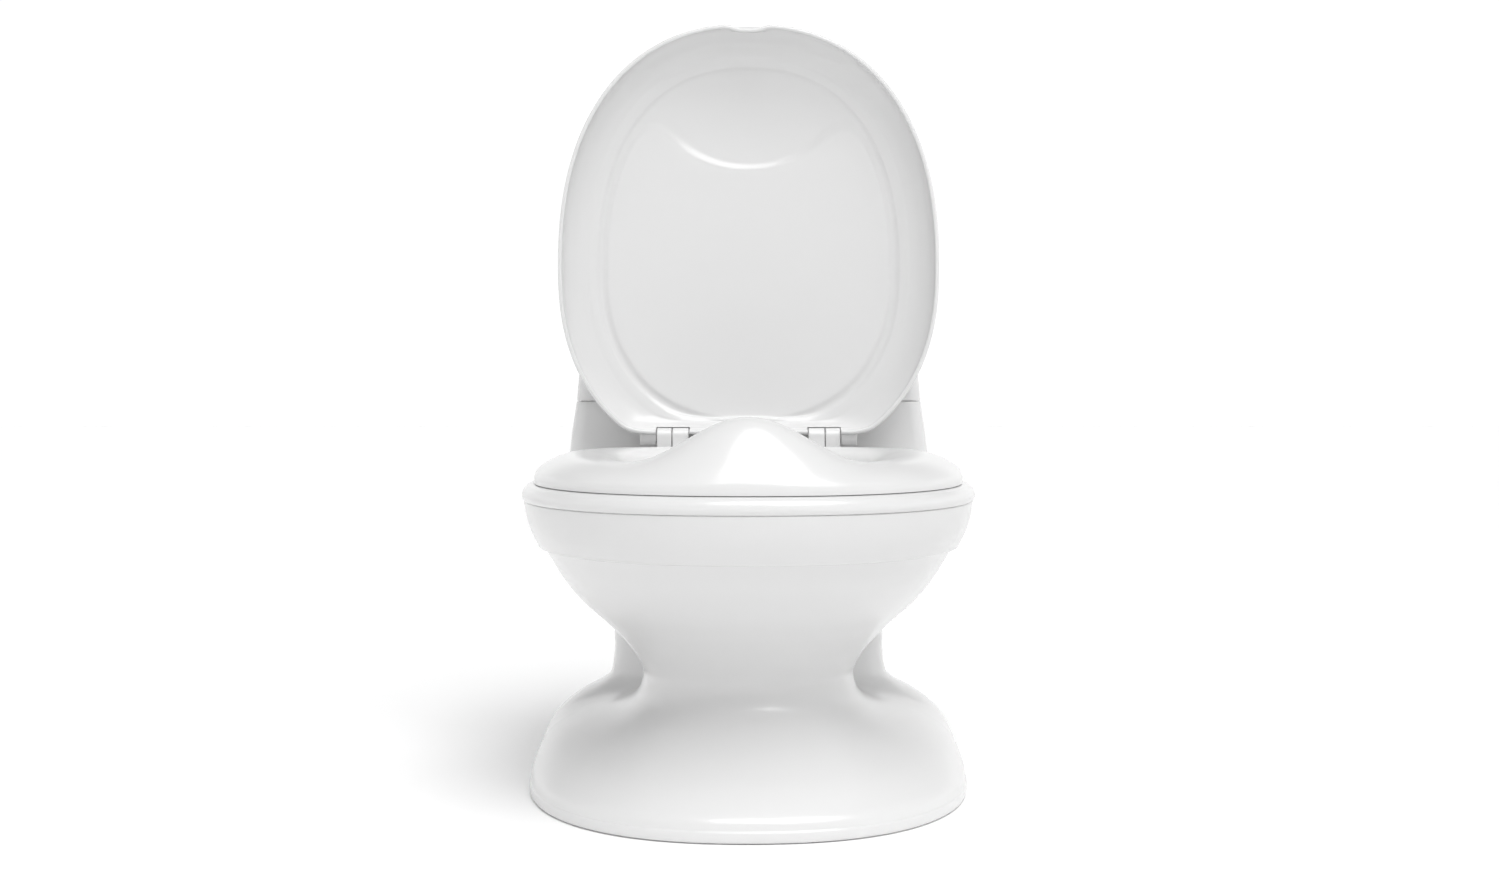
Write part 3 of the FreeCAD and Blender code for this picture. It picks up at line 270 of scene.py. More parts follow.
def slab(name, sides, node, softness):
    """Flat-sided piece between two outlines of the same shape, with softened edges."""
    count = len(sides[0])
    faces = ring_faces(count, 2, False) + [tuple(range(count))[::-1], tuple(range(count, 2 * count))]
    piece = face_outwards(make_piece(name, sides[0] + sides[1], faces, node, sharp=50))
    bevel = piece.modifiers.new("soft_edges", "BEVEL")
    bevel.width = softness * MM
    bevel.segments = 3
    bevel.limit_method = "ANGLE"
    bevel.angle_limit = math.radians(50)


def turned(name, profile, x, y, node, count=64, sharp=40):
    """Round piece: a profile of radius and height turned about an upright axis, closed on the axis."""
    inner = [p for p in profile if p[0] > 1e-6]
    rings = [[(x + r * math.cos(a), y + r * math.sin(a), z) for a in angles(count)] for r, z in inner]
    if profile[0][0] < 1e-6:
        caps = (("first", (x, y, profile[0][1])), ("last", (x, y, profile[-1][1])))
        return face_outwards(loft(name, rings, node, closed=False, caps=caps, sharp=sharp))
    return face_outwards(loft(name, rings, node, sharp=sharp))


def lobe(x, y, half, front, rear, power):
    """Negative inside an egg-shaped outline, zero on it, and about a distance near it."""
    end = rear if y > 0 else front
    return (((abs(x) / half) ** power + (abs(y) / end) ** power) ** (1.0 / power) - 1.0) * min(half, end)


def blended(first, second, width):
    """The smaller of two values, rounded off where they are closer together than a width."""
    share = max(width - abs(first - second), 0.0) / width
    return min(first, second) - share * share * width / 4.0


# ---------------------------------------------------------------- hinge

HINGE_Y = 105.0
HINGE_Z = 214.0
BARREL_RADIUS = 6.0
BARREL_STEPS = 16
SEAT_LUG = (46.7, 11.2)       # middle and width along X
DECK_POST = (57.95, 10.1)
LID_LUG = (69.05, 10.9)
PIN_PROFILE = [(0.0, 40.7), (2.2, 40.75), (2.8, 41.1), (3.0, 41.7), (3.0, 73.8), (2.8, 74.5), (2.2, 74.85),
               (0.0, 74.95)]


def barrel(start, end):
    """Points round the hinge line, from one angle to another in degrees."""
    turns = [math.radians(start + (end - start) * i / BARREL_STEPS) for i in range(BARREL_STEPS + 1)]
    return [(HINGE_Y + BARREL_RADIUS * math.cos(turn), HINGE_Z + BARREL_RADIUS * math.sin(turn))
            for turn in turns]


def opened(point):
    """Where a point of the closed lid lies when the lid stands open."""
    x, y, z = point
    return x, HINGE_Y + (z - HINGE_Z), HINGE_Z - (y - HINGE_Y)


def lug_pair(name, outline, place, node, stands_open=False):
    """Hinge lug on each side: an outline in y and z given a width along X."""
    middle, wide = place
    for side in (-1, 1):
        x = side * middle
        sides = [[(edge_x, y, z) for y, z in outline] for edge_x in (x - wide / 2, x + wide / 2)]
        if stands_open:
            sides = [[opened(point) for point in outline_side] for outline_side in sides]
        slab(f"{name}_{side + 1}", sides, node, 0.7)


def build_pins():
    """Round-ended pin each side of the hinge line."""
    for side in (-1, 1):
        rings = [[(side * along, HINGE_Y + r * math.cos(a), HINGE_Z + r * math.sin(a)) for a in angles(48)]
                 for r, along in PIN_PROFILE[1:-1]]
        caps = (("first", (side * PIN_PROFILE[0][1], HINGE_Y, HINGE_Z)),
                ("last", (side * PIN_PROFILE[-1][1], HINGE_Y, HINGE_Z)))
        piece = face_outwards(loft(f"hinge_pin_{side + 1}", rings, "hinge_pins", closed=False, caps=caps))
        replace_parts(piece, "hinge_pins")


# ---------------------------------------------------------------- pedestal

WAIST_Z = 70.0
FOOT_HALF = 135.5
FOOT_LIP = [(-2.2, 0.6), (0.2, 0.6), (0.8, 1.1), (1.0, 2.2), (1.0, 6.0), (0.7, 6.7), (0.2, 7.0),
            (-0.05, 7.15)]
BOWL_HALF = [(70, 66.0), (78, 68.5), (87, 74.0), (96, 81.5), (106, 91.0), (116, 102.0), (125, 110.0),
             (134, 116.5), (144, 122.5), (152, 127.0)]
BOWL_FRONT = [(70, 95.0), (78, 96.0), (87, 102.0), (96, 111.5), (106, 125.0), (116, 139.0), (125, 150.0),
              (134, 159.0), (144, 166.0), (152, 171.0)]
BOWL_REAR = [(70, 100.0), (106, 115.0), (134, 150.0), (152, 172.0)]
FLARE = [(0.0, 2.0), (0.0, 7.0), (0.03, 12.5), (0.13, 18.0), (0.28, 25.0), (0.47, 33.0), (0.66, 42.0),
         (0.82, 50.5), (0.94, 59.0), (1.0, WAIST_Z)]
SHOULDER = [(0.0, 2.0), (0.0, 7.0), (0.0, 14.0), (0.03, 22.0), (0.11, 29.5), (0.26, 36.5), (0.48, 42.5),
            (0.73, 47.0), (0.94, 54.0), (1.0, WAIST_Z)]
PEDESTAL_MIDDLE = 75.0
PEDESTAL_TOP = 152.0
UPPER_LEVELS = (78, 87, 96, 106, 116, 125, 134, 143, PEDESTAL_TOP)
FLANGE = 3.0
INNER_HOLE = superellipse(92.0, 136.0, 132.0)      # the way through the flanges of pedestal and band


def foot_measure(x, y):
    """Negative inside the foot's outline: a long front and fuller, straighter sides behind it."""
    return min(lobe(x, y, FOOT_HALF, 172.0, 150.0, 2.3), lobe(x, y - 52.0, FOOT_HALF, 208.0, 126.0, 2.5))


def upper_measure(x, y, level):
    """Negative inside the bowl-shaped front or the column behind it, which run into each other."""
    bowl = lobe(x, y, table_value(level, BOWL_HALF), table_value(level, BOWL_FRONT),
                table_value(level, BOWL_REAR), 2.3)
    column = lobe(x, y - 113.0, 92.0, 58.0, 58.0, 4.0)
    return blended(bowl, column, 18.0)


def reach_of(measure, angle):
    """Distance from the pedestal's middle, in one direction, at which a measure turns positive."""
    c = math.cos(angle)
    s = math.sin(angle)
    low = 0.0
    high = 300.0
    while high - low > 1e-3:
        r = (low + high) / 2.0
        if measure(r * c, PEDESTAL_MIDDLE + r * s) < 0.0:
            low = r
        else:
            high = r
    return low


def upper_reach(angle, level):
    """Reach of the bowl and column together, in one direction at a level."""
    return reach_of(lambda x, y: upper_measure(x, y, level), angle)


def hole_reach(angle):
    """Reach of the inner hole, whose outline is drawn about the chair's own middle."""
    return reach_of(lambda x, y: math.hypot(x, y) - INNER_HOLE(math.atan2(y, x)), angle)


def pedestal_profile(angle):
    """Reach and height of the pedestal's surface in one direction, from the floor to its top."""
    outline = reach_of(foot_measure, angle)
    waist = upper_reach(angle, WAIST_Z)
    off_front = abs((math.degrees(angle) + 270.0) % 360.0 - 180.0)
    share = soft_step((off_front - 18.0) / 58.0)
    points = []
    for (flare_in, flare_z), (shoulder_in, shoulder_z) in zip(FLARE, SHOULDER):
        inward = flare_in + share * (shoulder_in - flare_in)
        points.append((outline + inward * (waist - outline), flare_z + share * (shoulder_z - flare_z)))
    return points + [(upper_reach(angle, level), level) for level in UPPER_LEVELS]


def inward(path, inset):
    """A profile moved in by an inset, square to itself, with its ends moved level."""
    moved = []
    for k, (r, z) in enumerate(path):
        before = path[max(k - 1, 0)]
        after = path[min(k + 1, len(path) - 1)]
        dr = after[0] - before[0]
        dz = after[1] - before[1]
        length = math.hypot(dr, dz)
        if k == 0 or k == len(path) - 1:
            dr, dz, length = 0.0, 1.0, 1.0
        moved.append((r - inset * dz / length, z + inset * dr / length))
    return moved


def pedestal_column(angle):
    """Section of the shell in one direction: its outside from the lip up, and its cavity from the top."""
    control = pedestal_profile(angle)
    foot = control[0][0]
    lip = [(foot + out, z) for out, z in FOOT_LIP]
    outer = smooth_path(control[1:], 5)
    hole = hole_reach(angle)
    flange = [(outer[-1][0] - 0.2, PEDESTAL_TOP), (hole, PEDESTAL_TOP), (hole, PEDESTAL_TOP - FLANGE)]
    cavity = [(r, z) for r, z in inward(smooth_path(control, 3), WALL) if z < PEDESTAL_TOP - FLANGE - 0.2]
    cavity.append((cavity[-1][0] + 1.2, PEDESTAL_TOP - FLANGE))
    return lip + outer[1:] + flange, cavity[::-1]


def at_turn(point, angle):
    """A section's reach and height as a place in the frame."""
    r, z = point
    return r * math.cos(angle), PEDESTAL_MIDDLE + r * math.sin(angle), z


def build_pedestal():
    """Closed shell: rolled lip, foot, waist, bowl, top flange, and the cavity inside."""
    turns = angles(288)
    columns = [pedestal_column(angle) for angle in turns]
    shortest = min(len(cavity) for _, cavity in columns)
    rings = []
    for k in range(len(columns[0][0])):
        rings.append([at_turn(column[0][k], angle) for column, angle in zip(columns, turns)])
    for k in range(shortest):
        rings.append([at_turn(column[1][k * (len(column[1]) - 1) // (shortest - 1)], angle)
                      for column, angle in zip(columns, turns)])
    piece = face_outwards(loft("pedestal", rings, "pedestal_shell", sharp=50))
    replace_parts(piece, "pedestal_shell")


# ---------------------------------------------------------------- rim band and deck

DECK_HALF = 140.5
DECK_LONG = 182.5
BAND_TOP = 180.0
DECK_TOP = 190.0
REAR_POWER = 8.0
GRIP_DEEP = 9.5


def rim(inset):
    """Outline of band and deck, moved in by an inset."""
    return superellipse(DECK_HALF - inset, DECK_LONG - inset, DECK_LONG - inset, 2.3, REAR_POWER)


def side_turns():
    """Angles round the rim, close together where the ends of the hand grips are."""
    values = [TAU * i / 180 for i in range(180)]
    for y in [v * 0.8 for v in range(-50, 51)]:
        turn = math.asin(y / 139.0)
        values += [turn % TAU, (math.pi - turn) % TAU]
    values.sort()
    kept = [values[0]]
    for value in values[1:]:
        if value - kept[-1] > 0.0045:
            kept.append(value)
    return kept


def grip_depth(y, z):
    """How far the surface lies inside the band at a hand grip."""
    across = max(abs(y) - 30.0, 0.0)
    up = max(abs(z - 169.0) - 2.0, 0.0)
    outside = math.hypot(across, up) - 4.0
    return GRIP_DEEP * soft_step(0.5 - outside / 1.6)


def grip_back(y, z):
    """How far the band's inner wall stands in, to leave a wall behind a hand grip."""
    if not 156 < z < 179:
        return 0.0
    return GRIP_DEEP * soft_step((37.0 - abs(y)) / 2.0)


def pressed_ring(inset, level, turns, depth):
    """Ring of the band, pushed inwards at its sides by depth, a function of y and height."""
    ring = []
    for x, y, z in ring_of(rim(inset), level, turns=turns):
        if abs(x) > 100:
            x -= math.copysign(depth(y, z), x)
        ring.append((x, y, z))
    return ring


def build_band():
    """Closed shell of the band with a hand grip pressed into each side."""
    turns = side_turns()
    wall = [(9.6, 153.2), (7.6, 157.0), (5.4, 161.5), (3.4, 167.5), (1.9, 174.5), (1.3, 179.0)]
    outside = [(10.6, PEDESTAL_TOP), (9.9, 152.25), (9.65, 152.7)] + smooth_path(wall, 7)
    outside += [(1.35, 179.5), (1.6, 179.85), (2.2, BAND_TOP)]
    inside = [(4.4, BAND_TOP), (6.4, 167.0), (8.2, 161.0), (10.4, PEDESTAL_TOP + FLANGE)]
    rings = [pressed_ring(inset, level, turns, grip_depth) for inset, level in outside]
    rings += [pressed_ring(inset, level, turns, grip_back) for inset, level in inside]
    rings.append(ring_of(INNER_HOLE, PEDESTAL_TOP + FLANGE, turns=turns))
    rings.append(ring_of(INNER_HOLE, PEDESTAL_TOP, turns=turns))
    piece = face_outwards(loft("rim_band_skin", rings, "rim_band", sharp=60))
    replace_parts(piece, "rim_band")


def well(outset):
    """Outline of the hole for the bowl, moved out by an outset."""
    return superellipse(70.0 + outset, 117.0 + outset, 66.0 + outset, 2.2, 2.3)


def build_deck():
    """Closed shell: bullnose edge, flat top, well collar and underside, with two hinge posts."""
    bullnose = [(0.5, 181.1), (0.1, 182.6), (0.3, 184.6), (1.6, 187.2), (4.4, 189.3), (9.0, DECK_TOP)]
    edge = [(2.0, BAND_TOP), (1.2, 180.12), (0.72, 180.5)] + smooth_path(bullnose, 5)
    rings = [ring_of(rim(inset), level) for inset, level in edge]
    for outset, level in ((1.2, DECK_TOP), (0.5, 189.8), (0.1, 189.3), (0.0, 188.5), (0.0, 167.0),
                          (0.4, 166.2), (1.2, 166.0), (2.4, 166.2), (WALL, 167.0), (WALL, DECK_TOP - WALL)):
        rings.append(ring_of(well(outset), level))
    for inset, level in ((9.5, DECK_TOP - WALL), (5.4, 185.5), (4.0, 183.0), (4.2, BAND_TOP)):
        rings.append(ring_of(rim(inset), level))
    piece = face_outwards(loft("deck_skin", rings, "deck", sharp=55))
    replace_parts(piece, "deck")
    post = [(99.0, 189.0), (111.0, 189.0)] + barrel(0.0, 180.0)
    lug_pair("hinge_post", post, DECK_POST, "deck")


# ---------------------------------------------------------------- seat

# share of the way inwards, drop below the crest, and share of the splash guard's height
SEAT_PROFILE = [(0.0, 13.2, 0.0), (0.03, 9.6, 0.05), (0.14, 5.2, 0.20), (0.32, 1.2, 0.52),
                (0.52, 0.0, 0.84), (0.72, 1.4, 1.0), (0.90, 5.0, 0.95), (0.985, 10.0, 0.62)]
SEAT_FLOOR = 190.3
SEAT_CREST = 208.0
SEAT_EDGE = (133.0, 175.0, 96.0)        # half width, front and rear reach of the outer edge
SEAT_OPENING = (78.0, 126.0, 75.0)
SEAT_WIDE = 60.0                        # the profile's shares in millimetres, so that its curve stays even
GUARD_HIGH = 28.0
GUARD_SCALE = 20.0
SEAT_BOSS = [(0.0, 193.5), (4.6, 193.5), (5.0, 193.9), (5.0, 205.6), (0.0, 205.6)]
PAD_PLACES = [(-80.0, -108.0), (80.0, -108.0), (-104.0, 38.0), (104.0, 38.0)]


def seat_outline(share, inset):
    """Outline part of the way from the seat's outer edge, at share 0, to its opening, at share 1."""
    half, front, rear = [(1 - share) * (outer - inset) + share * (inner + inset)
                         for outer, inner in zip(SEAT_EDGE, SEAT_OPENING)]
    return superellipse(half, front, rear, 2.3 - 0.1 * share, 3.4 - 1.1 * share)


def guard_share(x, y):
    """Share of its full height that the splash guard has at a place."""
    if y > 0:
        return 0.0
    return math.cos(math.pi / 2.0 * min(abs(x) / 72.0, 1.0)) ** 2


def seat_rings(inset, lower):
    """Rings over the seat's skin, from its outer foot to the foot at its opening."""
    rings = [ring_of(seat_outline(0.0, inset), SEAT_FLOOR)]
    points = [(share * SEAT_WIDE, drop, guard * GUARD_SCALE) for share, drop, guard in SEAT_PROFILE]
    for across, drop, guard in smooth_path(points, 5):
        level = SEAT_CREST - drop - lower

        def height(x, y, level=level, guard=guard / GUARD_SCALE):
            added = guard * GUARD_HIGH * guard_share(x, y) + 2.5 * min(y, 0.0) / SEAT_EDGE[1]
            return max(level + added, SEAT_FLOOR + 0.4)

        rings.append(ring_of(seat_outline(across / SEAT_WIDE, inset), height))
    rings.append(ring_of(seat_outline(1.0, inset), SEAT_FLOOR))
    return rings


def build_seat():
    """Hollow seat with its splash guard, the lugs behind it and the bosses over its pads."""
    rings = seat_rings(0.0, 0.0) + seat_rings(WALL, WALL)[::-1]
    piece = face_outwards(loft("seat_skin", rings, "seat_ring", sharp=60))
    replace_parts(piece, "seat_ring")
    outline = [(86.0, 197.6), (108.5, 197.6), (110.2, 198.4), (111.0, 200.2)] + barrel(0.0, 180.0)
    outline += [(99.0, 207.0), (98.2, 205.8), (96.5, 205.4), (86.0, 205.4)]
    lug_pair("seat_lug", outline, SEAT_LUG, "seat_ring")
    for index, (x, y) in enumerate(PAD_PLACES):
        turned(f"seat_boss_{index}", SEAT_BOSS, x, y, "seat_ring")


# ---------------------------------------------------------------- lid

# inset from the rim's outline, and height over the rim of the closed lid
LID_OUTSIDE = [(0.0, 1.0), (-0.2, 4.0), (2.0, 10.5), (9.0, 18.0), (24.0, 24.5), (48.0, 28.0), (80.0, 29.0),
               (108.0, 29.0)]
LID_INSIDE = [(2.6, 1.0), (2.4, 3.7), (4.6, 9.3), (11.5, 15.6), (17.5, 18.6), (21.0, 19.4), (25.0, 20.6),
              (30.0, 23.2), (49.0, 25.3), (80.0, 26.3), (108.0, 26.3)]
LID_RIM_Z = 204.2
LID_MIDDLE = -10.0
LID_BACK = 103.0
LID_HIGH = 29.0
NOTCHES = [((40.5, 98.4, 201.0), (63.5, 118.0, 236.0)), ((40.5, 89.5, 201.0), (52.6, 101.5, 208.5))]


def lid_outline(inset, level):
    """Reach of the lid's outline: cut off straight behind, with a finger notch in the front edge."""
    whole = superellipse(130.0 - inset, 166.0 - inset, 135.0 - inset, 2.3, 2.3)
    limit = LID_BACK - LID_MIDDLE - min(inset, 4.0) - 0.3 * max(inset - 4.0, 0.0)

    def reach(angle):
        r = whole(angle)
        s = math.sin(angle)
        if s > 0.05:
            r = blended(r, limit / s, 7.0)
        if s < -0.8 and level < 9.0:
            x = r * math.cos(angle)
            r -= 3.0 * math.exp(-(x / 11.5) ** 4) * soft_step((9.0 - level) / 5.0)
        return r

    return reach


def guard_bulge(x, y):
    """How far the lid swells outwards to clear the splash guard."""
    across = max(1.0 - (x / 92.0) ** 2, 0.0)
    along = max(1.0 - ((y + 138.0) / 62.0) ** 2, 0.0)
    return 7.0 * across ** 2 * along ** 2


def lid_relief(x, y):
    """How far the lid's inner panel stands proud, apart from a shallow dish towards its front."""
    panel = lobe(x, y - LID_MIDDLE, 99.0, 135.0, 104.0, 2.3)
    dish = -lobe(x, y + 130.0, 62.0, 48.0, 48.0, 2.0)
    measure = -blended(-panel, -dish, 22.0)
    return 2.0 * soft_step(0.5 - measure / 5.0)


def finely(path, step):
    """The same path with points no further apart than a step."""
    points = [path[0]]
    for (x0, y0), (x1, y1) in zip(path, path[1:]):
        count = max(1, math.ceil(math.hypot(x1 - x0, y1 - y0) / step))
        points += [(x0 + (x1 - x0) * k / count, y0 + (y1 - y0) * k / count) for k in range(1, count + 1)]
    return points


def build_lid():
    """Closed shell of the open lid, the relief of its hollow side and its two hinge lugs."""
    rings = []
    turns = angles(320)
    outside = [(1.3, 0.0), (0.7, 0.12), (0.2, 0.5)] + smooth_path(LID_OUTSIDE, 6)
    inside = [(1.4, 0.0), (2.0, 0.12), (2.45, 0.5)] + finely(smooth_path(LID_INSIDE, 6), 1.8)
    for proud, profile in ((0.0, outside[::-1]), (1.0, inside)):
        for inset, height in profile:
            def level(x, y, height=height, proud=proud):
                bulge = guard_bulge(x, y) * soft_step((height - 9.0) / 6.0)
                return LID_RIM_Z + height + bulge - proud * lid_relief(x, y)

            ring = ring_of(lid_outline(inset, height), level, LID_MIDDLE, turns)
            rings.append([opened(p) for p in ring])
    crown_y = LID_MIDDLE - 10.0
    caps = (("first", opened((0.0, crown_y, LID_RIM_Z + LID_HIGH))),
            ("last", opened((0.0, crown_y, LID_RIM_Z + LID_HIGH - 4.7))))
    piece = face_outwards(loft("lid_skin", rings, "lid", closed=False, caps=caps, sharp=60))
    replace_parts(piece, "lid")
    blocks = [((side * x0, y0, z0), (side * x1, y1, z1))
              for side in (-1, 1) for (x0, y0, z0), (x1, y1, z1) in NOTCHES]
    cut_blocks(piece, [(opened(low), opened(high)) for low, high in blocks])
    outline = [(101.3, 209.6), (102.4, 208.7)] + barrel(-104.0, 90.0) + [(101.0, 219.6), (98.2, 219.0)]
    lug_pair("lid_lug", outline, LID_LUG, "lid", stands_open=True)


def cut_blocks(piece, blocks):
    """Cuts boxes, each given by two opposite corners, out of a closed piece."""
    for index, (first, second) in enumerate(blocks):
        low = [min(a, b) * MM for a, b in zip(first, second)]
        high = [max(a, b) * MM for a, b in zip(first, second)]
        corners = [(x, y, z) for x in (low[0], high[0]) for y in (low[1], high[1]) for z in (low[2], high[2])]
        faces = [(0, 1, 3, 2), (4, 6, 7, 5), (0, 4, 5, 1), (2, 3, 7, 6), (0, 2, 6, 4), (1, 5, 7, 3)]
        mesh = bpy.data.meshes.new("block")
        mesh.from_pydata(corners, [], faces)
        block = bpy.data.objects.new("block", mesh)
        bpy.context.scene.collection.objects.link(block)
        cut = piece.modifiers.new(f"cut_{index}", "BOOLEAN")
        cut.operation = "DIFFERENCE"
        cut.solver = "EXACT"
        cut.object = block
        graph = bpy.context.evaluated_depsgraph_get()
        result = bpy.data.meshes.new_from_object(piece.evaluated_get(graph))
        piece.modifiers.clear()
        piece.data = result
        bpy.data.objects.remove(block)
    for polygon in piece.data.polygons:
        polygon.use_smooth = True
    piece.data.set_sharp_from_angle(angle=math.radians(50))


# ---------------------------------------------------------------- bowl

# inset from the flange's outline, and height
BOWL_OUTSIDE = [(46.0, 97.0), (32.0, 99.0), (22.5, 108.0), (17.0, 127.0), (12.0, 157.0), (8.5, 189.4)]
BOWL_INSIDE = [(46.0, 99.4), (34.0, 100.6), (25.0, 109.0), (19.4, 128.0), (14.4, 157.0), (11.2, 190.6)]
BOWL_FLANGE = [(8.0, 190.0), (0.8, 190.0), (0.2, 190.4), (0.0, 191.2), (0.2, 192.0), (0.8, 192.5),
               (9.0, 192.5), (10.4, 192.0)]
TAB_CORNER = 4.0
TAB_STEPS = 8


def bowl_outline(inset):
    """Outline of the bowl's flange, moved in by an inset."""
    return superellipse(76.0 - inset, 124.0 - inset, 73.0 - inset, 2.2, 2.3)


def build_bowl():
    """Lift-out bowl with a flat flange and a finger tab behind."""
    profile = smooth_path(BOWL_OUTSIDE, 6) + BOWL_FLANGE + smooth_path(BOWL_INSIDE, 6)[::-1]
    rings = [ring_of(bowl_outline(inset), level) for inset, level in profile]
    caps = (("first", (0.0, -20.0, BOWL_OUTSIDE[0][1])), ("last", (0.0, -20.0, BOWL_INSIDE[0][1])))
    piece = face_outwards(loft("bowl_skin", rings, "potty_bowl", closed=False, caps=caps, sharp=60))
    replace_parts(piece, "potty_bowl")
    corner = []
    for i in range(TAB_STEPS + 1):
        turn = math.radians(90.0 * i / TAB_STEPS)
        corner.append((13.0 + TAB_CORNER * math.sin(math.pi / 2 - turn), 195.5 + TAB_CORNER * math.sin(turn)))
    outline = [(17.0, 191.5)] + corner + [(-x, z) for x, z in corner[::-1]] + [(-17.0, 191.5)]
    slab("bowl_tab", [[(x, y, z) for x, z in outline] for y in (63.5, 67.0)], "potty_bowl", 0.8)


# ---------------------------------------------------------------- tank

TANK_HALF = [(190.0, 127.0), (215.0, 125.0), (238.0, 121.7), (270.0, 118.6), (385.0, 112.0)]
TANK_FRONT = [(190.0, 124.0), (215.0, 129.5), (238.0, 132.0), (385.0, 132.0)]
TANK_SEAM = 238.0
TANK_TOP = 385.0
CROWN_RADIUS = 6.5
CORNER_STEPS = 14
BUTTON_Y = 153.0
BEZEL_PROFILE = [(5.0, 376.0), (12.4, 376.0), (12.5, 376.2), (12.5, 385.05), (14.2, 385.05), (14.5, 385.35),
                 (14.4, 386.0), (13.9, 386.45), (13.2, 386.6), (12.2, 386.5), (11.5, 386.1), (11.2, 385.4),
                 (11.2, 378.0), (5.0, 378.0)]
BUTTON_PROFILE = [(0.0, 375.0), (3.6, 375.0), (4.0, 375.4), (4.0, 386.5), (8.6, 386.5), (8.6, 383.3),
                  (8.9, 383.0), (10.3, 383.0), (10.6, 383.3), (10.6, 387.6), (10.3, 388.3), (9.6, 388.75),
                  (8.2, 389.0), (6.0, 388.85), (3.0, 388.65), (0.0, 388.6)]


def on_circle(x, y, radius, degrees):
    """Point of a circle about x, y in a direction given in degrees."""
    turn = math.radians(degrees)
    return x + radius * math.cos(turn), y + radius * math.sin(turn)


def tank_ring(inset, level):
    """Round-cornered outline of the tank at a level, as points."""
    half = table_value(level, TANK_HALF) - inset
    front = table_value(level, TANK_FRONT) + inset
    back = 175.5 - 1.5 * soft_step((level - TANK_SEAM) / (TANK_TOP - TANK_SEAM)) - inset
    front_corner = max(10.0 - inset, 0.6)
    back_corner = max(28.0 - inset, 0.6)
    corners = [(half - back_corner, back - back_corner, back_corner, 0),
               (back_corner - half, back - back_corner, back_corner, 90),
               (front_corner - half, front + front_corner, front_corner, 180),
               (half - front_corner, front + front_corner, front_corner, 270)]
    points = []
    for index, (x, y, radius, start) in enumerate(corners):
        points += [on_circle(x, y, radius, start + 90 * i / CORNER_STEPS) for i in range(CORNER_STEPS + 1)]
        last = points[-1]
        target = on_circle(*corners[(index + 1) % 4])
        steps = 24 if start in (0, 180) else 4
        for step in range(1, steps):
            t = step / steps
            points.append((last[0] + t * (target[0] - last[0]), last[1] + t * (target[1] - last[1])))
    return [(x, y, level) for x, y in points]


def hole_ring(radius, level, like):
    """Circle about the button's axis, with its points in the directions of another ring's."""
    points = []
    for x, y, _ in like:
        turn = math.atan2(y - BUTTON_Y, x)
        points.append((radius * math.cos(turn), BUTTON_Y + radius * math.sin(turn), level))
    return points


def build_tank_body():
    """Lower half of the tank: an open box with a locating lip round its top."""
    rings = [tank_ring(0.8, 190.0), tank_ring(0.2, 190.25), tank_ring(0.0, 190.9)]
    rings += [tank_ring(0.0, level) for level in (198.0, 206.0, 215.0, 222.0, 230.0, 237.0)]
    rings += [tank_ring(0.15, 237.7), tank_ring(0.7, TANK_SEAM), tank_ring(3.3, TANK_SEAM)]
    rings += [tank_ring(inset, level) for inset, level in (
        (3.5, 243.4), (4.0, 244.0), (4.8, 244.0), (5.1, 243.4), (5.1, 234.0),
        (WALL, 231.0), (WALL, 215.0), (WALL, 193.6), (3.6, 193.0))]
    caps = (("first", (0.0, 150.0, 190.0)), ("last", (0.0, 150.0, 193.0)))
    piece = face_outwards(loft("tank_body_skin", rings, "tank_body", closed=False, caps=caps, sharp=50))
    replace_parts(piece, "tank_body")


def build_tank_cover():
    """Cover with a rounded top, the hole for the button and an open underside."""
    rings = [tank_ring(WALL, 238.4), tank_ring(0.7, 238.4), tank_ring(0.15, 238.7), tank_ring(0.0, 239.4)]
    crown_z = TANK_TOP - CROWN_RADIUS
    rings += [tank_ring(0.0, level) for level in (248.0, 258.0, 270.0, 290.0, 315.0, 340.0, 362.0, crown_z)]
    for i in range(1, 9):
        turn = math.radians(90.0 * i / 8)
        rings.append(tank_ring(CROWN_RADIUS * (1 - math.cos(turn)), crown_z + CROWN_RADIUS * math.sin(turn)))
    for radius, level in ((14.5, TANK_TOP), (12.6, TANK_TOP), (12.6, TANK_TOP - WALL)):
        rings.append(hole_ring(radius, level, rings[-1]))
    rings += [tank_ring(inset, level) for inset, level in (
        (9.0, TANK_TOP - WALL), (5.0, 380.0), (2.9, 372.0), (WALL, 300.0))]
    piece = face_outwards(loft("tank_cover_skin", rings, "tank_cover", sharp=50))
    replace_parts(piece, "tank_cover")


def build_button():
    """Flush button and the bezel round it."""
    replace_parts(turned("bezel", BEZEL_PROFILE, 0.0, BUTTON_Y, "button_bezel"), "button_bezel")
    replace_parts(turned("button", BUTTON_PROFILE, 0.0, BUTTON_Y, "flush_button"), "flush_button")


build_pedestal()
build_band()
build_deck()
build_seat()
build_lid()
build_bowl()
build_tank_body()
build_tank_cover()
build_button()
build_pins()

# ---------------------------------------------------------------- floor, light and camera

LIT_POINT = Vector((0.0, 0.0, 0.15))
CAMERA_DOWN = 1.836           # degrees below level


def build_stage():
    """Plain pale floor."""
    floor = bpy.data.meshes.new("floor")
    floor.from_pydata([(-9, -9, 0), (9, -9, 0), (9, 9, 0), (-9, 9, 0)], [], [(0, 1, 2, 3)])
    material = bpy.data.materials.new("floor_paint")
    material.use_nodes = True
    shader = material.node_tree.nodes["Principled BSDF"]
    node_input(shader, "Base Color", (0.96, 0.96, 0.96, 1.0))
    node_input(shader, "Roughness", 0.8)
    node_input(shader, "Specular IOR Level", 0.1)
    floor.materials.append(material)
    floor_piece = bpy.data.objects.new("floor", floor)
    bpy.context.scene.collection.objects.link(floor_piece)


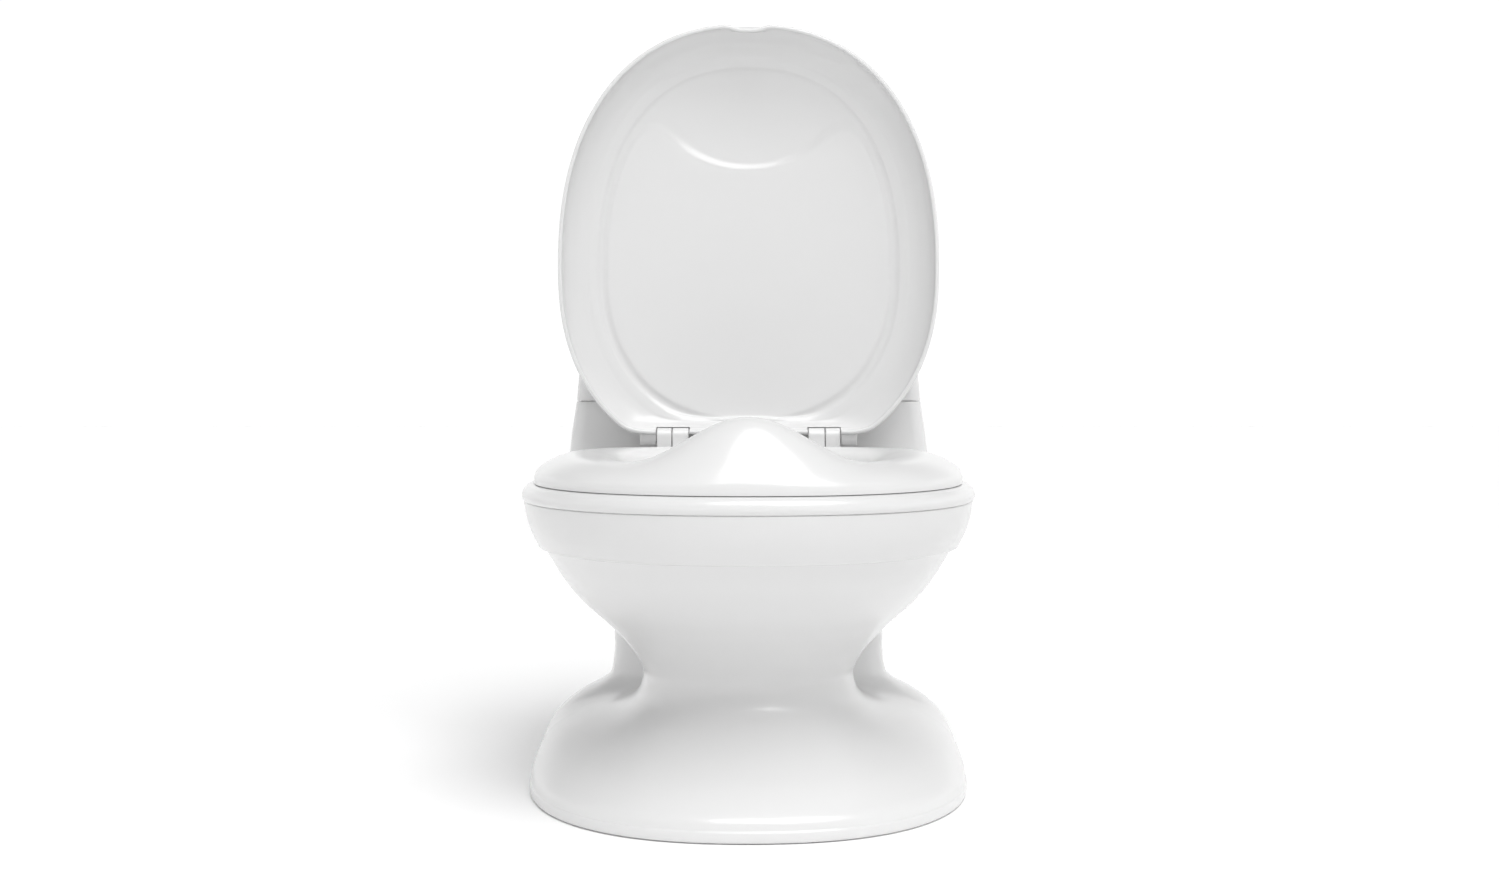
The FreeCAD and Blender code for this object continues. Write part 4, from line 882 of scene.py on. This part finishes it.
def small_light(name, place, side, power):
    """Small square lamp that gives the gloss its highlights."""
    light = bpy.data.lights.new(name, "AREA")
    light.shape = "RECTANGLE"
    light.size = side
    light.size_y = side
    light.energy = power
    lamp = bpy.data.objects.new(name, light)
    lamp.location = place
    lamp.rotation_euler = (LIT_POINT - Vector(place)).to_track_quat("-Z", "Y").to_euler()
    bpy.context.scene.collection.objects.link(lamp)


def ceiling_light():
    """Wide soft light from above, a little to the front and right."""
    light = bpy.data.lights.new("ceiling", "SUN")
    light.energy = 1.95
    light.angle = math.radians(45.0)
    lamp = bpy.data.objects.new("ceiling", light)
    lamp.rotation_euler = Vector((0.22, -0.42, 1.0)).to_track_quat("Z", "Y").to_euler()
    bpy.context.scene.collection.objects.link(lamp)


def light_walls(studio):
    """White studio walls all round, brightest near the floor's horizon and dimmer overhead."""
    nodes = studio.node_tree.nodes
    links = studio.node_tree.links
    place = nodes.new("ShaderNodeTexCoord")
    parts = nodes.new("ShaderNodeSeparateXYZ")
    links.new(place.outputs["Generated"], parts.inputs["Vector"])
    ramp = nodes.new("ShaderNodeValToRGB")
    steps = ramp.color_ramp
    steps.elements[0].position = 0.22
    steps.elements[0].color = (1.04, 1.04, 1.04, 1.0)
    steps.elements[1].position = 0.42
    steps.elements[1].color = (0.45, 0.45, 0.45, 1.0)
    links.new(parts.outputs["Z"], ramp.inputs["Fac"])
    links.new(ramp.outputs["Color"], nodes["Background"].inputs["Color"])


def build_camera():
    """Near-level view from straight in front."""
    data = bpy.data.cameras.new("camera")
    data.sensor_width = 36.0
    data.lens = 44.77
    camera = bpy.data.objects.new("camera", data)
    camera.location = (0.001, -1.18, 0.2529)
    camera.rotation_euler = (math.radians(90.0 - CAMERA_DOWN), 0.0, 0.0)
    bpy.context.scene.collection.objects.link(camera)
    bpy.context.scene.camera = camera


build_stage()
world = bpy.data.worlds.new("studio")
world.use_nodes = True
light_walls(world)
bpy.context.scene.world = world
ceiling_light()
small_light("spot_left", (-0.35, -1.5, 1.9), 0.16, 0.9)
small_light("spot_middle", (0.1, -1.5, 2.1), 0.16, 0.9)
small_light("spot_right", (0.6, -1.5, 1.8), 0.2, 1.6)
build_camera()
bpy.context.scene.view_settings.view_transform = "Standard"
